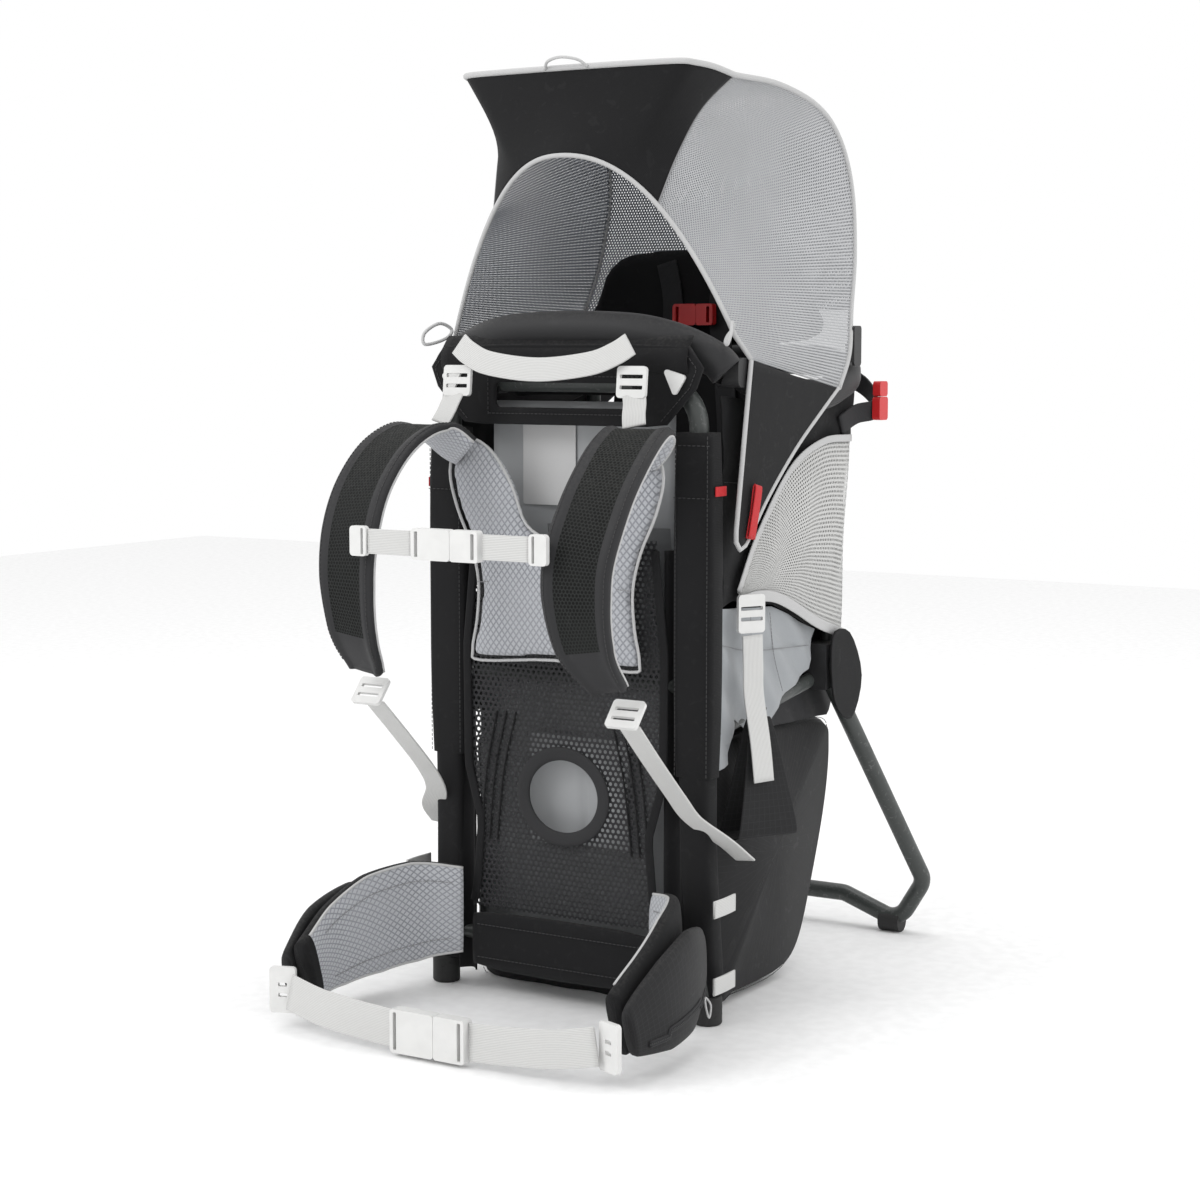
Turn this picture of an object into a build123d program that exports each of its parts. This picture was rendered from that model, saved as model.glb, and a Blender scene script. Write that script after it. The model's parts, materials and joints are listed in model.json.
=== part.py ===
from build123d import *
import os

# Driving dimensions in millimetres.  Distances along Y are given from the back panel,
# negative towards the wearer and positive towards the child.
back = -120.0            # Y of the back panel's front face
tube_r = 10.0            # main frame and kickstand tube
tube_wall = 1.5
hoop_r = 8.0             # cockpit hoop, top bar and stays
tube_gap = 0.3           # clearance of a sleeve or pad around its tube

frame_half = 152.0       # X of the frame uprights
foot_half = 166.0        # X of the frame's feet
frame_y = 14.0
frame_top = 660.0
crossbar_z = (60.0, 350.0)
foot_height = 30.0

bar_half = 75.0          # level part of the top bar
bar_z = 714.0
bar_pad_r = 19.0
hoop_half = 171.0
hoop_rear = 366.0
rim_pad_r = 14.0

bag_half = 150.0
bag_front = 60.0
bag_top = 292.0

wall_x = 166.0           # inner face of the side walls
wall_thick = 3.0
pocket_thick = 8.0
tongue_x = 187.0         # inner face of the shade's side tongues

hinge_x = 162.0          # middle of each kickstand hinge
hinge_y = 288.0
hinge_z = 338.0
pin_r = 4.0
leg_corner_half = 202.0
stand_rear = 490.0       # rear of the kickstand's crossbar
foot_r = 13.0            # rubber ring on the kickstand's corner
stand_raise = 26.0       # crossbar's rise between its two feet

shade_y = 312.0          # sunshade pivots
shade_z = 712.0
shade_skin = 3.0
rail_x = 179.0           # the shade's side rails
wire_r = 2.5
shade_pin_r = 2.5

belt_front = 250.0       # distance of the waist buckle's front from the back panel
belt_web = 38.0
strap_web = 25.0
web_thick = 2.0
strap_width = 75.0
strap_thick = 16.0

chest_y = 214.0          # distance of the chest strap in front of the back panel
chest_z = 506.0
porthole_z = 225.0


def panel(y=0.0):
    """Upright plane facing the wearer: local x is X and local y is Z."""
    return Plane(origin=(0, back + y, 0), x_dir=(1, 0, 0), z_dir=(0, -1, 0))


def side(x):
    """Upright plane facing +X: local x is the distance behind the back panel."""
    return Plane(origin=(x, back, 0), x_dir=(0, 1, 0), z_dir=(1, 0, 0))


def level(z=0.0):
    """Level plane at a height, with its origin under the back panel."""
    return Plane(origin=(0, back, z))


def rod(points, bend, radius, bore=0.0, close=False):
    """Round tube or rod along straight runs joined by bends."""
    with BuildPart() as piece:
        with BuildLine(level()) as route:
            FilletPolyline(*points, radius=bend, close=close)
        with BuildSketch(Plane(origin=route.line @ 0, z_dir=route.line % 0)):
            Circle(radius)
            if bore:
                Circle(bore, mode=Mode.SUBTRACT)
        sweep(path=route.line)
    return piece


def band(points, across, width, thick, round_r=0.0, ruled=True):
    """Flat band through points; across is the direction of its width."""
    places = [Vector(x, back + y, z) for x, y, z in points]
    last = len(places) - 1
    acrosses = across if isinstance(across, list) else [across] * (last + 1)
    widths = width if isinstance(width, list) else [width] * (last + 1)
    with BuildPart() as piece:
        for i, place in enumerate(places):
            ahead = (places[min(i + 1, last)] - places[max(i - 1, 0)]).normalized()
            flat = Vector(*acrosses[i])
            flat = flat - ahead * flat.dot(ahead)
            with BuildSketch(Plane(origin=place, x_dir=flat.normalized(), z_dir=ahead)):
                if round_r:
                    RectangleRounded(widths[i], thick, round_r)
                else:
                    Rectangle(widths[i], thick)
        loft(ruled=ruled)
    return piece


def plate(plane, outline, thick, round_r=0.0):
    """Flat plate of an outline's shape, thickened along the plane's normal."""
    with BuildPart() as piece:
        with BuildSketch(plane) as face:
            with BuildLine():
                Polyline(*outline, close=True)
            make_face()
            if round_r:
                fillet(face.vertices(), round_r)
        extrude(amount=thick)
    return piece


def mirrored(piece):
    """The same piece on the other side of the object."""
    with BuildPart() as twin:
        add(piece.part)
        mirror(about=Plane.YZ, mode=Mode.REPLACE)
    return twin


def pair(piece):
    """A piece and its mirror image in one node."""
    with BuildPart() as both:
        add(piece.part)
        mirror(about=Plane.YZ)
    return both


def together(*items):
    """Several separate pieces in one node."""
    with BuildPart() as group:
        for item in items:
            add(item.part)
    return group


def flip(points):
    """A half outline followed by its mirror image, from right to left."""
    return points + [(-x, z) for x, z in reversed(points)]


def ladder_lock(plane, width=32.0, height=30.0, thick=4.0, web=strap_web):
    """Two-slot webbing adjuster lying in a plane."""
    with BuildPart() as piece:
        with BuildSketch(plane) as face:
            RectangleRounded(width, height, 4)
            with GridLocations(0, 11, 1, 2):
                RectangleRounded(web + 1.5, 4, 1, mode=Mode.SUBTRACT)
        extrude(amount=thick / 2, both=True)
    return piece


def at(x, y, z, x_dir=(1, 0, 0), z_dir=(0, -1, 0)):
    """Plane at a point measured from the back panel."""
    return Plane(origin=(x, back + y, z), x_dir=x_dir, z_dir=z_dir)


pieces = {}


def cockpit_route():
    """Route of the cockpit hoop, from one front corner round the rear to the other."""
    half = [(hoop_half, 66, 668), (hoop_half, 140, 652), (hoop_half, 243, 645),
            (hoop_half, 318, 668), (118, hoop_rear, 682)]
    return half + [(-x, y, z) for x, y, z in reversed(half)]


# --- Frame -----------------------------------------------------------------------------
def build_frame():
    """Inverted U of the uprights, top bar, cockpit hoop, stays and their fittings."""
    legs = [(foot_half, frame_y, 6), (frame_half, frame_y, 150), (frame_half, frame_y, frame_top)]
    arch = [(-x, y, z) for x, y, z in legs] + list(reversed(legs))
    uprights = rod(arch, 45, tube_r, tube_r - tube_wall)
    solid = rod(arch, 45, tube_r)
    with BuildPart() as frame_tube:
        add(uprights.part)
        with BuildSketch(side(-frame_half)):
            with Locations(*[(frame_y, z) for z in crossbar_z]):
                Circle(hoop_r)
        extrude(amount=2 * frame_half)
        with BuildPart(mode=Mode.PRIVATE) as inside:
            add(rod(arch, 45, tube_r - tube_wall).part)
        add(inside.part, mode=Mode.SUBTRACT)
    pieces["frame_tube"] = frame_tube

    bar = [(-hoop_half, 34, 676), (-bar_half, 16, bar_z), (bar_half, 16, bar_z), (hoop_half, 34, 676)]
    pieces["top_bar_pad"] = rod(bar, 60, bar_pad_r, hoop_r + tube_gap)

    hoop = cockpit_route()
    pieces["cockpit_tubes"] = together(rod(bar, 60, hoop_r, hoop_r - tube_wall),
                                       rod(hoop, 30, hoop_r, hoop_r - tube_wall))
    pieces["cockpit_rim_pad"] = rod(hoop, 30, rim_pad_r, hoop_r + tube_gap)

    with BuildPart() as corner:
        with BuildSketch(side(hoop_half - 13)) as face:
            with Locations((51, 671)):
                RectangleRounded(28, 30, 8)
        extrude(amount=26)
        add(rod(hoop, 30, rim_pad_r + 0.2).part, mode=Mode.SUBTRACT)
        add(rod(bar, 60, bar_pad_r + 0.2).part, mode=Mode.SUBTRACT)

    with BuildPart() as hanger:
        with BuildSketch(at(96, frame_y, 676, (1, 0, 0), (0, 1, 0))):
            RectangleRounded(22, 56, 4)
        extrude(amount=9, both=True)
        add(solid.part, mode=Mode.SUBTRACT)
        add(rod(bar, 60, bar_pad_r + 0.2).part, mode=Mode.SUBTRACT)
    pieces["frame_brackets"] = together(pair(corner), pair(hanger))

    with BuildPart() as foot:
        with BuildSketch(level()):
            with Locations((foot_half - 1, frame_y)):
                Circle(15)
        extrude(amount=foot_height)
        fillet(foot.edges().filter_by(GeomType.CIRCLE), 3)
        add(solid.part, mode=Mode.SUBTRACT)
    pieces["frame_feet"] = pair(foot)

    stays = [((157, 301, 362), (157, 312, 640)), ((157, 262, 330), (157, 32, 300))]
    with BuildPart() as stay:
        for start, end in stays:
            axis = Vector(*end) - Vector(*start)
            with BuildSketch(at(*start, x_dir=(1, 0, 0), z_dir=axis)):
                Circle(hoop_r)
            extrude(amount=axis.length)
    pieces["side_stays"] = pair(stay)


# --- Back panel ------------------------------------------------------------------------
def build_back():
    """Padded sleeves, face panel, mesh, porthole ring, lumbar band and inner liner."""
    with BuildPart() as sleeve:
        with BuildSketch(level(257)):
            with Locations((frame_half, frame_y - 1)):
                RectangleRounded(47, 30, 9)
            with Locations((frame_half, frame_y)):
                Circle(tube_r + tube_gap, mode=Mode.SUBTRACT)
        extrude(amount=355)
        with BuildSketch(side(0)):
            with Locations((frame_y, crossbar_z[1])):
                Circle(hoop_r + tube_gap)
        extrude(amount=frame_half, mode=Mode.SUBTRACT)
    pieces["column_sleeves"] = pair(sleeve)

    with BuildPart() as face_panel:
        with BuildSketch(panel(0)) as face:
            with BuildLine():
                Polyline(*flip([(60, 694), (150, 694), (164, 673), (122, 619)]), close=True)
            make_face()
            fillet(face.vertices(), 8)
            with Locations((0, 647)):
                SlotOverall(168, 26, mode=Mode.SUBTRACT)
        extrude(amount=6)
    pieces["face_panel"] = face_panel

    with BuildPart() as mesh_panel:
        with BuildSketch(panel(0)) as face:
            with BuildLine():
                Polyline(*flip([(112, 500), (124, 380), (123, 250), (106, 190), (112, 120), (118, 94)]),
                         close=True)
            make_face()
            with Locations((0, porthole_z)):
                Ellipse(46, 42, mode=Mode.SUBTRACT)
        extrude(amount=3)
    pieces["back_mesh_panel"] = mesh_panel

    with BuildPart() as ring:
        with BuildSketch(panel(-3.1)):
            with Locations((0, porthole_z)):
                Ellipse(56, 54)
                Ellipse(46, 42, mode=Mode.SUBTRACT)
        extrude(amount=5)
    pieces["porthole_ring"] = ring

    lumbar = plate(panel(-3.5), flip([(108, 92), (108, 30)]), 12, 5)
    pieces["lumbar_band"] = lumbar


# --- Child's side ----------------------------------------------------------------------
def build_cockpit():
    """Cockpit walls, pockets, gussets, backrest, headrest, bag and their details."""
    wall = plate(side(wall_x), [(34, 648), (130, 636), (243, 628), (326, 648), (318, 560),
                                (302, 380), (240, 392), (150, 424), (60, 436), (34, 430)], wall_thick, 6)
    rear = plate(side(-143), [(290, 298), (337, 640), (341, 640), (294, 298)], 286)
    pieces["cockpit_walls"] = together(pair(wall), rear)

    pocket_edge = [(58, 438), (100, 500), (175, 567), (322, 594), (312, 470), (302, 378), (220, 404),
                   (140, 432)]
    with BuildPart() as pocket:
        add(plate(side(wall_x + wall_thick + 0.3), pocket_edge, pocket_thick, 10).part)
        chamfer(pocket.faces().sort_by(Axis.X)[-1].edges(), 4)
    pieces["mesh_pockets"] = pair(pocket)

    gusset = plate(side(wall_x + 0.5), [(30, 345), (30, 262), (52, 266), (66, 312), (96, 296), (104, 262),
                                        (128, 272), (168, 318), (236, 345)], 2, 2)
    front = plate(panel(36), flip([(112, 640), (118, 400)]), 3, 8)
    pieces["seat_liner"] = together(pair(gusset), front)

    with BuildPart() as bag:
        outline = [(bag_front, 4), (205, 4), (252, 26), (290, 98), (326, 188), (336, 262), (318, bag_top),
                   (bag_front, bag_top)]
        add(plate(side(-bag_half), outline, 2 * bag_half, 14).part)
        fillet(bag.faces().sort_by(Axis.X)[0].edges() + bag.faces().sort_by(Axis.X)[-1].edges(), 10)
    pieces["lower_bag"] = bag

    rear_pocket = plate(side(-92), [(312, 380), (334, 560), (352, 552), (348, 470), (334, 388)], 184, 4)
    pieces["rear_pocket"] = rear_pocket

    with BuildPart() as backrest:
        add(plate(side(-92), [(232, 346), (283, 690), (306, 690), (255, 346)], 184).part)
        fillet(backrest.edges(), 8)
    pieces["backrest_pad"] = backrest

    with BuildPart() as headrest:
        add(plate(panel(306), flip([(140, 810), (140, 698)]), 22, 40).part)
        fillet(headrest.edges(), 6)
    pieces["headrest_pad"] = headrest

    with BuildPart() as drool:
        add(plate(panel(60), flip([(110, 706), (118, 640)]), 14, 12).part)
        fillet(drool.edges(), 4)
    pieces["drool_pad"] = drool

    with BuildPart() as seat:
        with BuildSketch(level(316)) as face:
            with BuildLine():
                Polyline((-58, 62), (58, 62), (82, 215), (-82, 215), close=True)
            make_face()
            fillet(face.vertices(), 22)
        extrude(amount=20)
        fillet(seat.edges().group_by(Axis.Z)[-1], 6)
    pieces["seat_pad"] = seat

    route = [(40, 280, 792), (32, 278, 762), (30, 277, 730), (36, 275, 690), (52, 259, 590), (66, 238, 450)]
    strap = band(route, (1, 0, 0), strap_web, web_thick)
    pieces["child_straps"] = pair(strap)


# --- Carrying straps -------------------------------------------------------------------
def build_harness():
    """Yoke, shoulder straps, their webbing and adjusters, chest strap."""
    route = [(100, -36, 588), (124, -56, 608), (134, -86, 611), (140, -130, 588), (140, -172, 542),
             (136, -196, 480), (138, -186, 412), (146, -152, 368)]
    acrosses = [(1, 0.3, 0), (1, 0.25, 0), (1, 0.1, 0), (1, 0, 0), (1, 0.1, 0), (1, 0.2, 0),
                (1, 0.1, 0), (1, 0, 0)]
    widths = [60, 72, strap_width, strap_width, strap_width, 72, 62, 40]
    strap = band(route, acrosses, widths, strap_thick, 6, ruled=False)
    pieces["shoulder_straps"] = pair(strap)

    lobes = flip([(34, 520), (70, 580), (112, 600), (132, 560), (96, 480), (92, 440), (104, 366)])
    with BuildPart() as yoke:
        add(plate(panel(-10), lobes, 18, 10).part)
        add(pair(strap).part, mode=Mode.SUBTRACT)
    pieces["yoke_pad"] = yoke
    pieces["yoke_plate"] = plate(panel(-4.5), flip([(60, 500), (60, 380)]), 5, 8)

    lock = ladder_lock(at(154, -134, 342, (1, 0, 0), (0, -0.75, 0.66)), 36, 32)
    pieces["shoulder_locks"] = pair(lock)

    tail = band([(154, -126, 326), (153, -84, 290), (154, -36, 246), (160, -10, 218), (184, 16, 192),
                 (192, 44, 170)],
                [(1, 0, 0), (1, 0, 0), (1, 0.2, 0), (0.8, 0.6, 0.2), (0.3, 0.6, 0.75), (0, 0.5, 0.85)],
                strap_web, web_thick)
    pieces["shoulder_webbing"] = pair(tail)

    with BuildPart() as slider:
        with BuildSketch(at(106, -chest_y, chest_z)):
            RectangleRounded(20, 30, 4)
            with Locations((-5, 0)):
                RectangleRounded(3, 26, 1, mode=Mode.SUBTRACT)
        extrude(amount=3, both=True)
    pieces["chest_sliders"] = pair(slider)

    socket_web = band([(-44, -chest_y, chest_z), (-95, -chest_y, chest_z)], (0, 0, 1), strap_web, web_thick)
    plug_web = band([(62, -chest_y, chest_z), (95, -chest_y, chest_z)], (0, 0, 1), strap_web, web_thick)
    pieces["chest_webbing"] = together(socket_web, plug_web)


def side_release(center, width, thick, reach):
    """Socket and plug of a side-release buckle, closed, along X about a centre."""
    x, y, z = center
    with BuildPart() as socket:
        with BuildSketch(at(x - reach / 2, y, z)):
            RectangleRounded(reach, width + 6, 4)
            with Locations((-reach / 2 + 6, 0)):
                RectangleRounded(4, width, 1, mode=Mode.SUBTRACT)
        extrude(amount=thick / 2, both=True)
        with BuildSketch(at(x, y, z, (0, 1, 0), (-1, 0, 0))):
            Rectangle(thick - 4, width)
        extrude(amount=reach - 14, mode=Mode.SUBTRACT)
    with BuildPart() as plug:
        with BuildSketch(at(x + 0.4 + reach * 0.35, y, z)):
            RectangleRounded(reach * 0.7, width + 6, 3)
            with Locations((reach * 0.35 - 6, 0)):
                RectangleRounded(4, width, 1, mode=Mode.SUBTRACT)
        extrude(amount=thick / 2, both=True)
        with BuildSketch(at(x + 2, y, z)):
            with Locations((-reach * 0.28, 0)):
                with GridLocations(0, width * 0.68, 1, 2):
                    Rectangle(reach * 0.56, width * 0.16)
                Rectangle(reach * 0.5, width * 0.12)
        extrude(amount=thick / 2 - 2.6, both=True)
    return socket, plug


def build_buckles():
    """Chest, waist and child's buckles, and the cockpit's rear corner buckles."""
    chest = side_release((6, -chest_y, chest_z), strap_web, 10, 46)
    pieces["chest_buckle_socket"], pieces["chest_buckle_plug"] = chest
    waist = side_release((4, -(belt_front - 7), 26), belt_web, 14, 52)
    pieces["waist_buckle_socket"], pieces["waist_buckle_plug"] = waist
    child = side_release((8, 267, 733), strap_web - 7, 9, 30)
    pieces["child_buckle_socket"], pieces["child_buckle_plug"] = child

    with BuildPart() as socket:
        with BuildSketch(side(188)):
            with Locations((358, 628)):
                RectangleRounded(22, 26, 4)
        extrude(amount=9)
    pieces["corner_buckle_sockets"] = pair(socket)
    with BuildPart() as plug:
        with BuildSketch(side(188)):
            with Locations((358, 650)):
                RectangleRounded(20, 17, 4)
        extrude(amount=9)
    pieces["corner_buckle_plug_right"] = plug
    pieces["corner_buckle_plug_left"] = mirrored(plug)


# --- Waist belt ------------------------------------------------------------------------
def build_belt():
    """Hip wings, their pockets and zips, waist webbing and end buckles."""
    route = [(122, -16, 92), (158, -48, 92), (180, -100, 86), (190, -156, 72), (188, -206, 56)]
    widths = [96, 112, 112, 94, 70]
    wing = band(route, (0, 0, 1), widths, 20, 8, ruled=False)
    pieces["hip_wings"] = pair(wing)

    pocket_route = [(185, -50, 82), (205, -100, 76), (213, -156, 64), (208, -208, 50)]
    with BuildPart() as pocket:
        add(band(pocket_route, (0, 0, 1), [84, 92, 80, 60], 22, 8, ruled=False).part)
        add(wing.part, mode=Mode.SUBTRACT)
    pieces["hip_pockets"] = pair(pocket)

    end = ladder_lock(at(196, -232, 42, (0.94, 0.34, 0), (-0.34, -0.94, 0)), 28, 48, 5, 8)
    pieces["belt_locks"] = pair(end)

    waist_route = [(184, -236.5, 42), (140, -242, 34), (90, -243, 29)]
    plug_web = band([*waist_route, (72, -243, 27.7)], (0, 0, 1), belt_web, web_thick)
    socket_web = band([*waist_route, (50, -243, 26)], (0, 0, 1), belt_web, web_thick)
    pieces["belt_webbing"] = together(plug_web, mirrored(socket_web))

    with BuildPart() as tabs:
        for z in (130, 50):
            with BuildSketch(at(190, 0, z, (0, 1, 0), (1, 0, 0))):
                RectangleRounded(42, 18, 3)
            extrude(amount=3)
    pieces["stabiliser_clips"] = pair(tabs)


# --- Webbing and fittings at the top ----------------------------------------------------
def build_top():
    """Grab handle, load-lifter adjusters and webbing, corner tabs."""
    pieces["grab_handle"] = band([(-104, -42, 698), (-60, -50, 680), (0, -52, 675), (60, -50, 680),
                                  (104, -42, 698)], (0, 0, 1), strap_web, 2.5)
    lifter = ladder_lock(at(106, -42, 662, (1, 0, 0), (0, -1, 0.1)), 34, 32)
    web = band([(112, -47, 640), (114, -52, 632), (117, -57, 625)], (1, 0, 0), strap_web, web_thick)
    pieces["load_lifter_webbing"] = pair(web)
    tab = plate(panel(-7), [(122, 676), (150, 668), (136, 646)], 3, 3)
    pieces["load_lifter_locks"] = together(pair(lifter), pair(tab))


# --- Kickstand -------------------------------------------------------------------------
def build_kickstand():
    """Kickstand tube with its hubs and rubber feet, brackets, pins and covers."""
    bar_y = stand_rear - foot_r
    half = [(hinge_x, hinge_y, hinge_z), (leg_corner_half, bar_y, 66), (leg_corner_half - 32, bar_y, foot_r),
            (98, bar_y, foot_r + stand_raise)]
    points = half + [(-x, y, z) for x, y, z in reversed(half)]
    with BuildPart() as stand:
        add(rod(points, 24, tube_r, tube_r - tube_wall).part)
        with BuildSketch(side(-hinge_x - 11)):
            with Locations((hinge_y, hinge_z)):
                Circle(15)
        extrude(amount=2 * (hinge_x + 11))
        with BuildSketch(side(-hinge_x + 11)):
            with Locations((hinge_y, hinge_z)):
                Circle(16)
        extrude(amount=2 * (hinge_x - 11), mode=Mode.SUBTRACT)
        with BuildSketch(side(-hinge_x - 12)):
            with Locations((hinge_y, hinge_z)):
                Circle(pin_r + 0.08)
        extrude(amount=2 * (hinge_x + 12), mode=Mode.SUBTRACT)
    pieces["kickstand_tube"] = stand

    foot_x = leg_corner_half - 38
    with BuildPart() as foot:
        with BuildSketch(side(foot_x - 16)):
            with Locations((bar_y, foot_r)):
                Circle(foot_r)
        extrude(amount=26)
        add(rod(points, 24, tube_r).part, mode=Mode.SUBTRACT)
    pieces["kickstand_feet"] = pair(foot)

    with BuildPart() as bracket:
        for x in (hinge_x - 17, hinge_x + 12):
            with BuildSketch(side(x)):
                with BuildLine():
                    Polyline((hinge_y - 34, hinge_z + 32), (hinge_y + 22, hinge_z + 32),
                             (hinge_y + 16, hinge_z - 12), (hinge_y - 34, hinge_z - 18), close=True)
                make_face()
                with Locations((hinge_y, hinge_z)):
                    Circle(pin_r, mode=Mode.SUBTRACT)
            extrude(amount=5)
        with BuildSketch(side(hinge_x - 12)):
            with BuildLine():
                Polyline((hinge_y - 34, hinge_z + 32), (hinge_y + 22, hinge_z + 32),
                         (hinge_y + 22, hinge_z + 22), (hinge_y - 20, hinge_z + 20),
                         (hinge_y - 22, hinge_z - 16), (hinge_y - 34, hinge_z - 18), close=True)
            make_face()
        extrude(amount=24)
        add(pieces["side_stays"].part, mode=Mode.SUBTRACT)
    pieces["kickstand_brackets"] = pair(bracket)

    with BuildPart() as pin:
        with BuildSketch(side(hinge_x - 17)):
            with Locations((hinge_y, hinge_z)):
                Circle(pin_r)
        extrude(amount=34)
    pieces["kickstand_pins"] = pair(pin)

    flap = plate(side(183), [(hinge_y - 30, hinge_z + 40), (hinge_y + 14, hinge_z + 42),
                             (hinge_y + 46, hinge_z - 10), (hinge_y + 20, hinge_z - 56),
                             (hinge_y - 24, hinge_z - 30)], 2.5, 5)
    pieces["kickstand_flaps"] = pair(flap)


# --- Foot stirrups ---------------------------------------------------------------------
def build_stirrups():
    """Stirrup adjusters, webbing and foot loops."""
    out = (0.87, -0.5, 0)
    along = (0.5, 0.87, 0)
    lock = ladder_lock(at(187, 62, 424, along, out), 32, 40, 4)
    pieces["stirrup_locks"] = pair(lock)
    web = band([(190, 60, 402), (190, 62, 340), (199, 62, 250)], along, strap_web, web_thick)
    pieces["stirrup_webbing"] = pair(web)
    middle = Vector(192, back + 78, 0)
    with BuildPart() as loop:
        with BuildSketch(Plane(origin=middle, x_dir=out, z_dir=-Vector(*along))) as ring:
            with BuildLine():
                Polyline((-2, 306), (14, 200), (6, 190), (-18, 190), (-22, 200), (-10, 306), close=True)
            make_face()
            fillet(ring.vertices().group_by(Axis.Y)[0], 3)
            offset(amount=-2.5, mode=Mode.SUBTRACT)
        extrude(amount=60, both=True)
        with BuildSketch(Plane(origin=middle, x_dir=along, z_dir=out)):
            with BuildLine():
                Polyline((-14, 310), (14, 310), (38, 186), (-38, 186), close=True)
            make_face()
        extrude(amount=60, both=True, mode=Mode.INTERSECT)
    pieces["stirrup_loop_right"] = loop
    pieces["stirrup_loop_left"] = mirrored(loop)


# --- Sunshade --------------------------------------------------------------------------
def canopy_block(inset):
    """Solid outline of the shade, shrunk by an inset on every face but its underside."""
    profile = [(50, 718), (30, 800), (14, 978), (200, 981), (296, 958), (344, 908), (352, 850), (320, 718)]
    half_front = [(140 - inset, 982 - inset), (172 - inset, 716)]
    with BuildPart() as block:
        with BuildSketch(side(-200)) as face:
            with BuildLine():
                Polyline(*profile, close=True)
            make_face()
            fillet(face.vertices().sort_by(Axis.Y)[3:], 14)
            if inset:
                offset(amount=-inset)
                with Locations((186, 720)):
                    Rectangle(264, 14)
        extrude(amount=400)
        with BuildSketch(panel(420)) as front:
            with BuildLine():
                Polyline(*flip(half_front), close=True)
            make_face()
            fillet(front.vertices().sort_by(Axis.Y)[2:], 24 - inset)
        extrude(amount=500, mode=Mode.INTERSECT)
    return block


def build_shade():
    """Canopy, its wire arch and rails, pivots, side tongues and pull tabs."""
    with BuildPart() as canopy:
        add(canopy_block(0).part)
        add(canopy_block(shade_skin).part, mode=Mode.SUBTRACT)
        with BuildSketch(panel(100)):
            with BuildLine():
                arch = Spline((-170, 700), (-118, 844), (0, 898), (118, 844), (170, 700))
                Line(arch @ 1, arch @ 0)
            make_face()
        extrude(amount=140, mode=Mode.SUBTRACT)
    pieces["shade_canopy"] = canopy

    half = [(rail_x, shade_y - 5, shade_z), (rail_x, 56, shade_z), (158, 46, 720), (104, 30, 836),
            (60, 26, 872)]
    route = half + [(-x, y, z) for x, y, z in reversed(half)]
    with BuildPart() as wire:
        add(rod(route, 9, wire_r).part)
        for x in (rail_x - 3, -rail_x - 3):
            with BuildSketch(side(x)):
                with Locations((shade_y, shade_z)):
                    Circle(6)
            extrude(amount=6)
            with BuildSketch(side(x)):
                with Locations((shade_y, shade_z)):
                    Circle(shade_pin_r + 0.08)
            extrude(amount=6, mode=Mode.SUBTRACT)
    pieces["shade_wire"] = wire

    tongue = plate(side(tongue_x), [(52, 730), (28, 560), (26, 506), (46, 498), (100, 548), (164, 599),
                                    (250, 650), (308, 716), (308, 730)], 3, 5)
    pieces["shade_tongues"] = pair(tongue)

    tab = plate(side(tongue_x + 3.2), [(52, 556), (66, 556), (66, 508), (52, 508)], 3, 3)
    pieces["shade_pull_tabs"] = pair(tab)

    with BuildPart() as socket:
        with BuildSketch(side(rail_x - 4)):
            with Locations((shade_y, shade_z - 22)):
                Rectangle(18, 20)
        extrude(amount=11)
        with BuildSketch(side(rail_x + 4)):
            with Locations((shade_y, shade_z - 14)):
                RectangleRounded(18, 44, 4)
        extrude(amount=3)
        add(rod(cockpit_route(), 30, rim_pad_r + 0.2).part, mode=Mode.SUBTRACT)
        with BuildSketch(side(rail_x - 3)):
            with Locations((shade_y, shade_z)):
                Circle(shade_pin_r)
        extrude(amount=7)
    pieces["shade_sockets"] = pair(socket)


build_frame()
build_back()
build_cockpit()
build_harness()
build_buckles()
build_belt()
build_top()
build_kickstand()
build_stirrups()
build_shade()

os.makedirs("parts", exist_ok=True)
for label, piece in pieces.items():
    piece.part.label = label
    export_step(piece.part, f"parts/{label}.step")
    print(label, len(piece.part.solids()), round(piece.part.volume))
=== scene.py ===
"""Looks of a framed child carrier backpack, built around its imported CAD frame."""

import json
import logging
import math
from dataclasses import dataclass, field
from enum import Enum
from typing import Callable

import bmesh
import bpy
import numpy as np
from mathutils import Matrix, Vector

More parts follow.
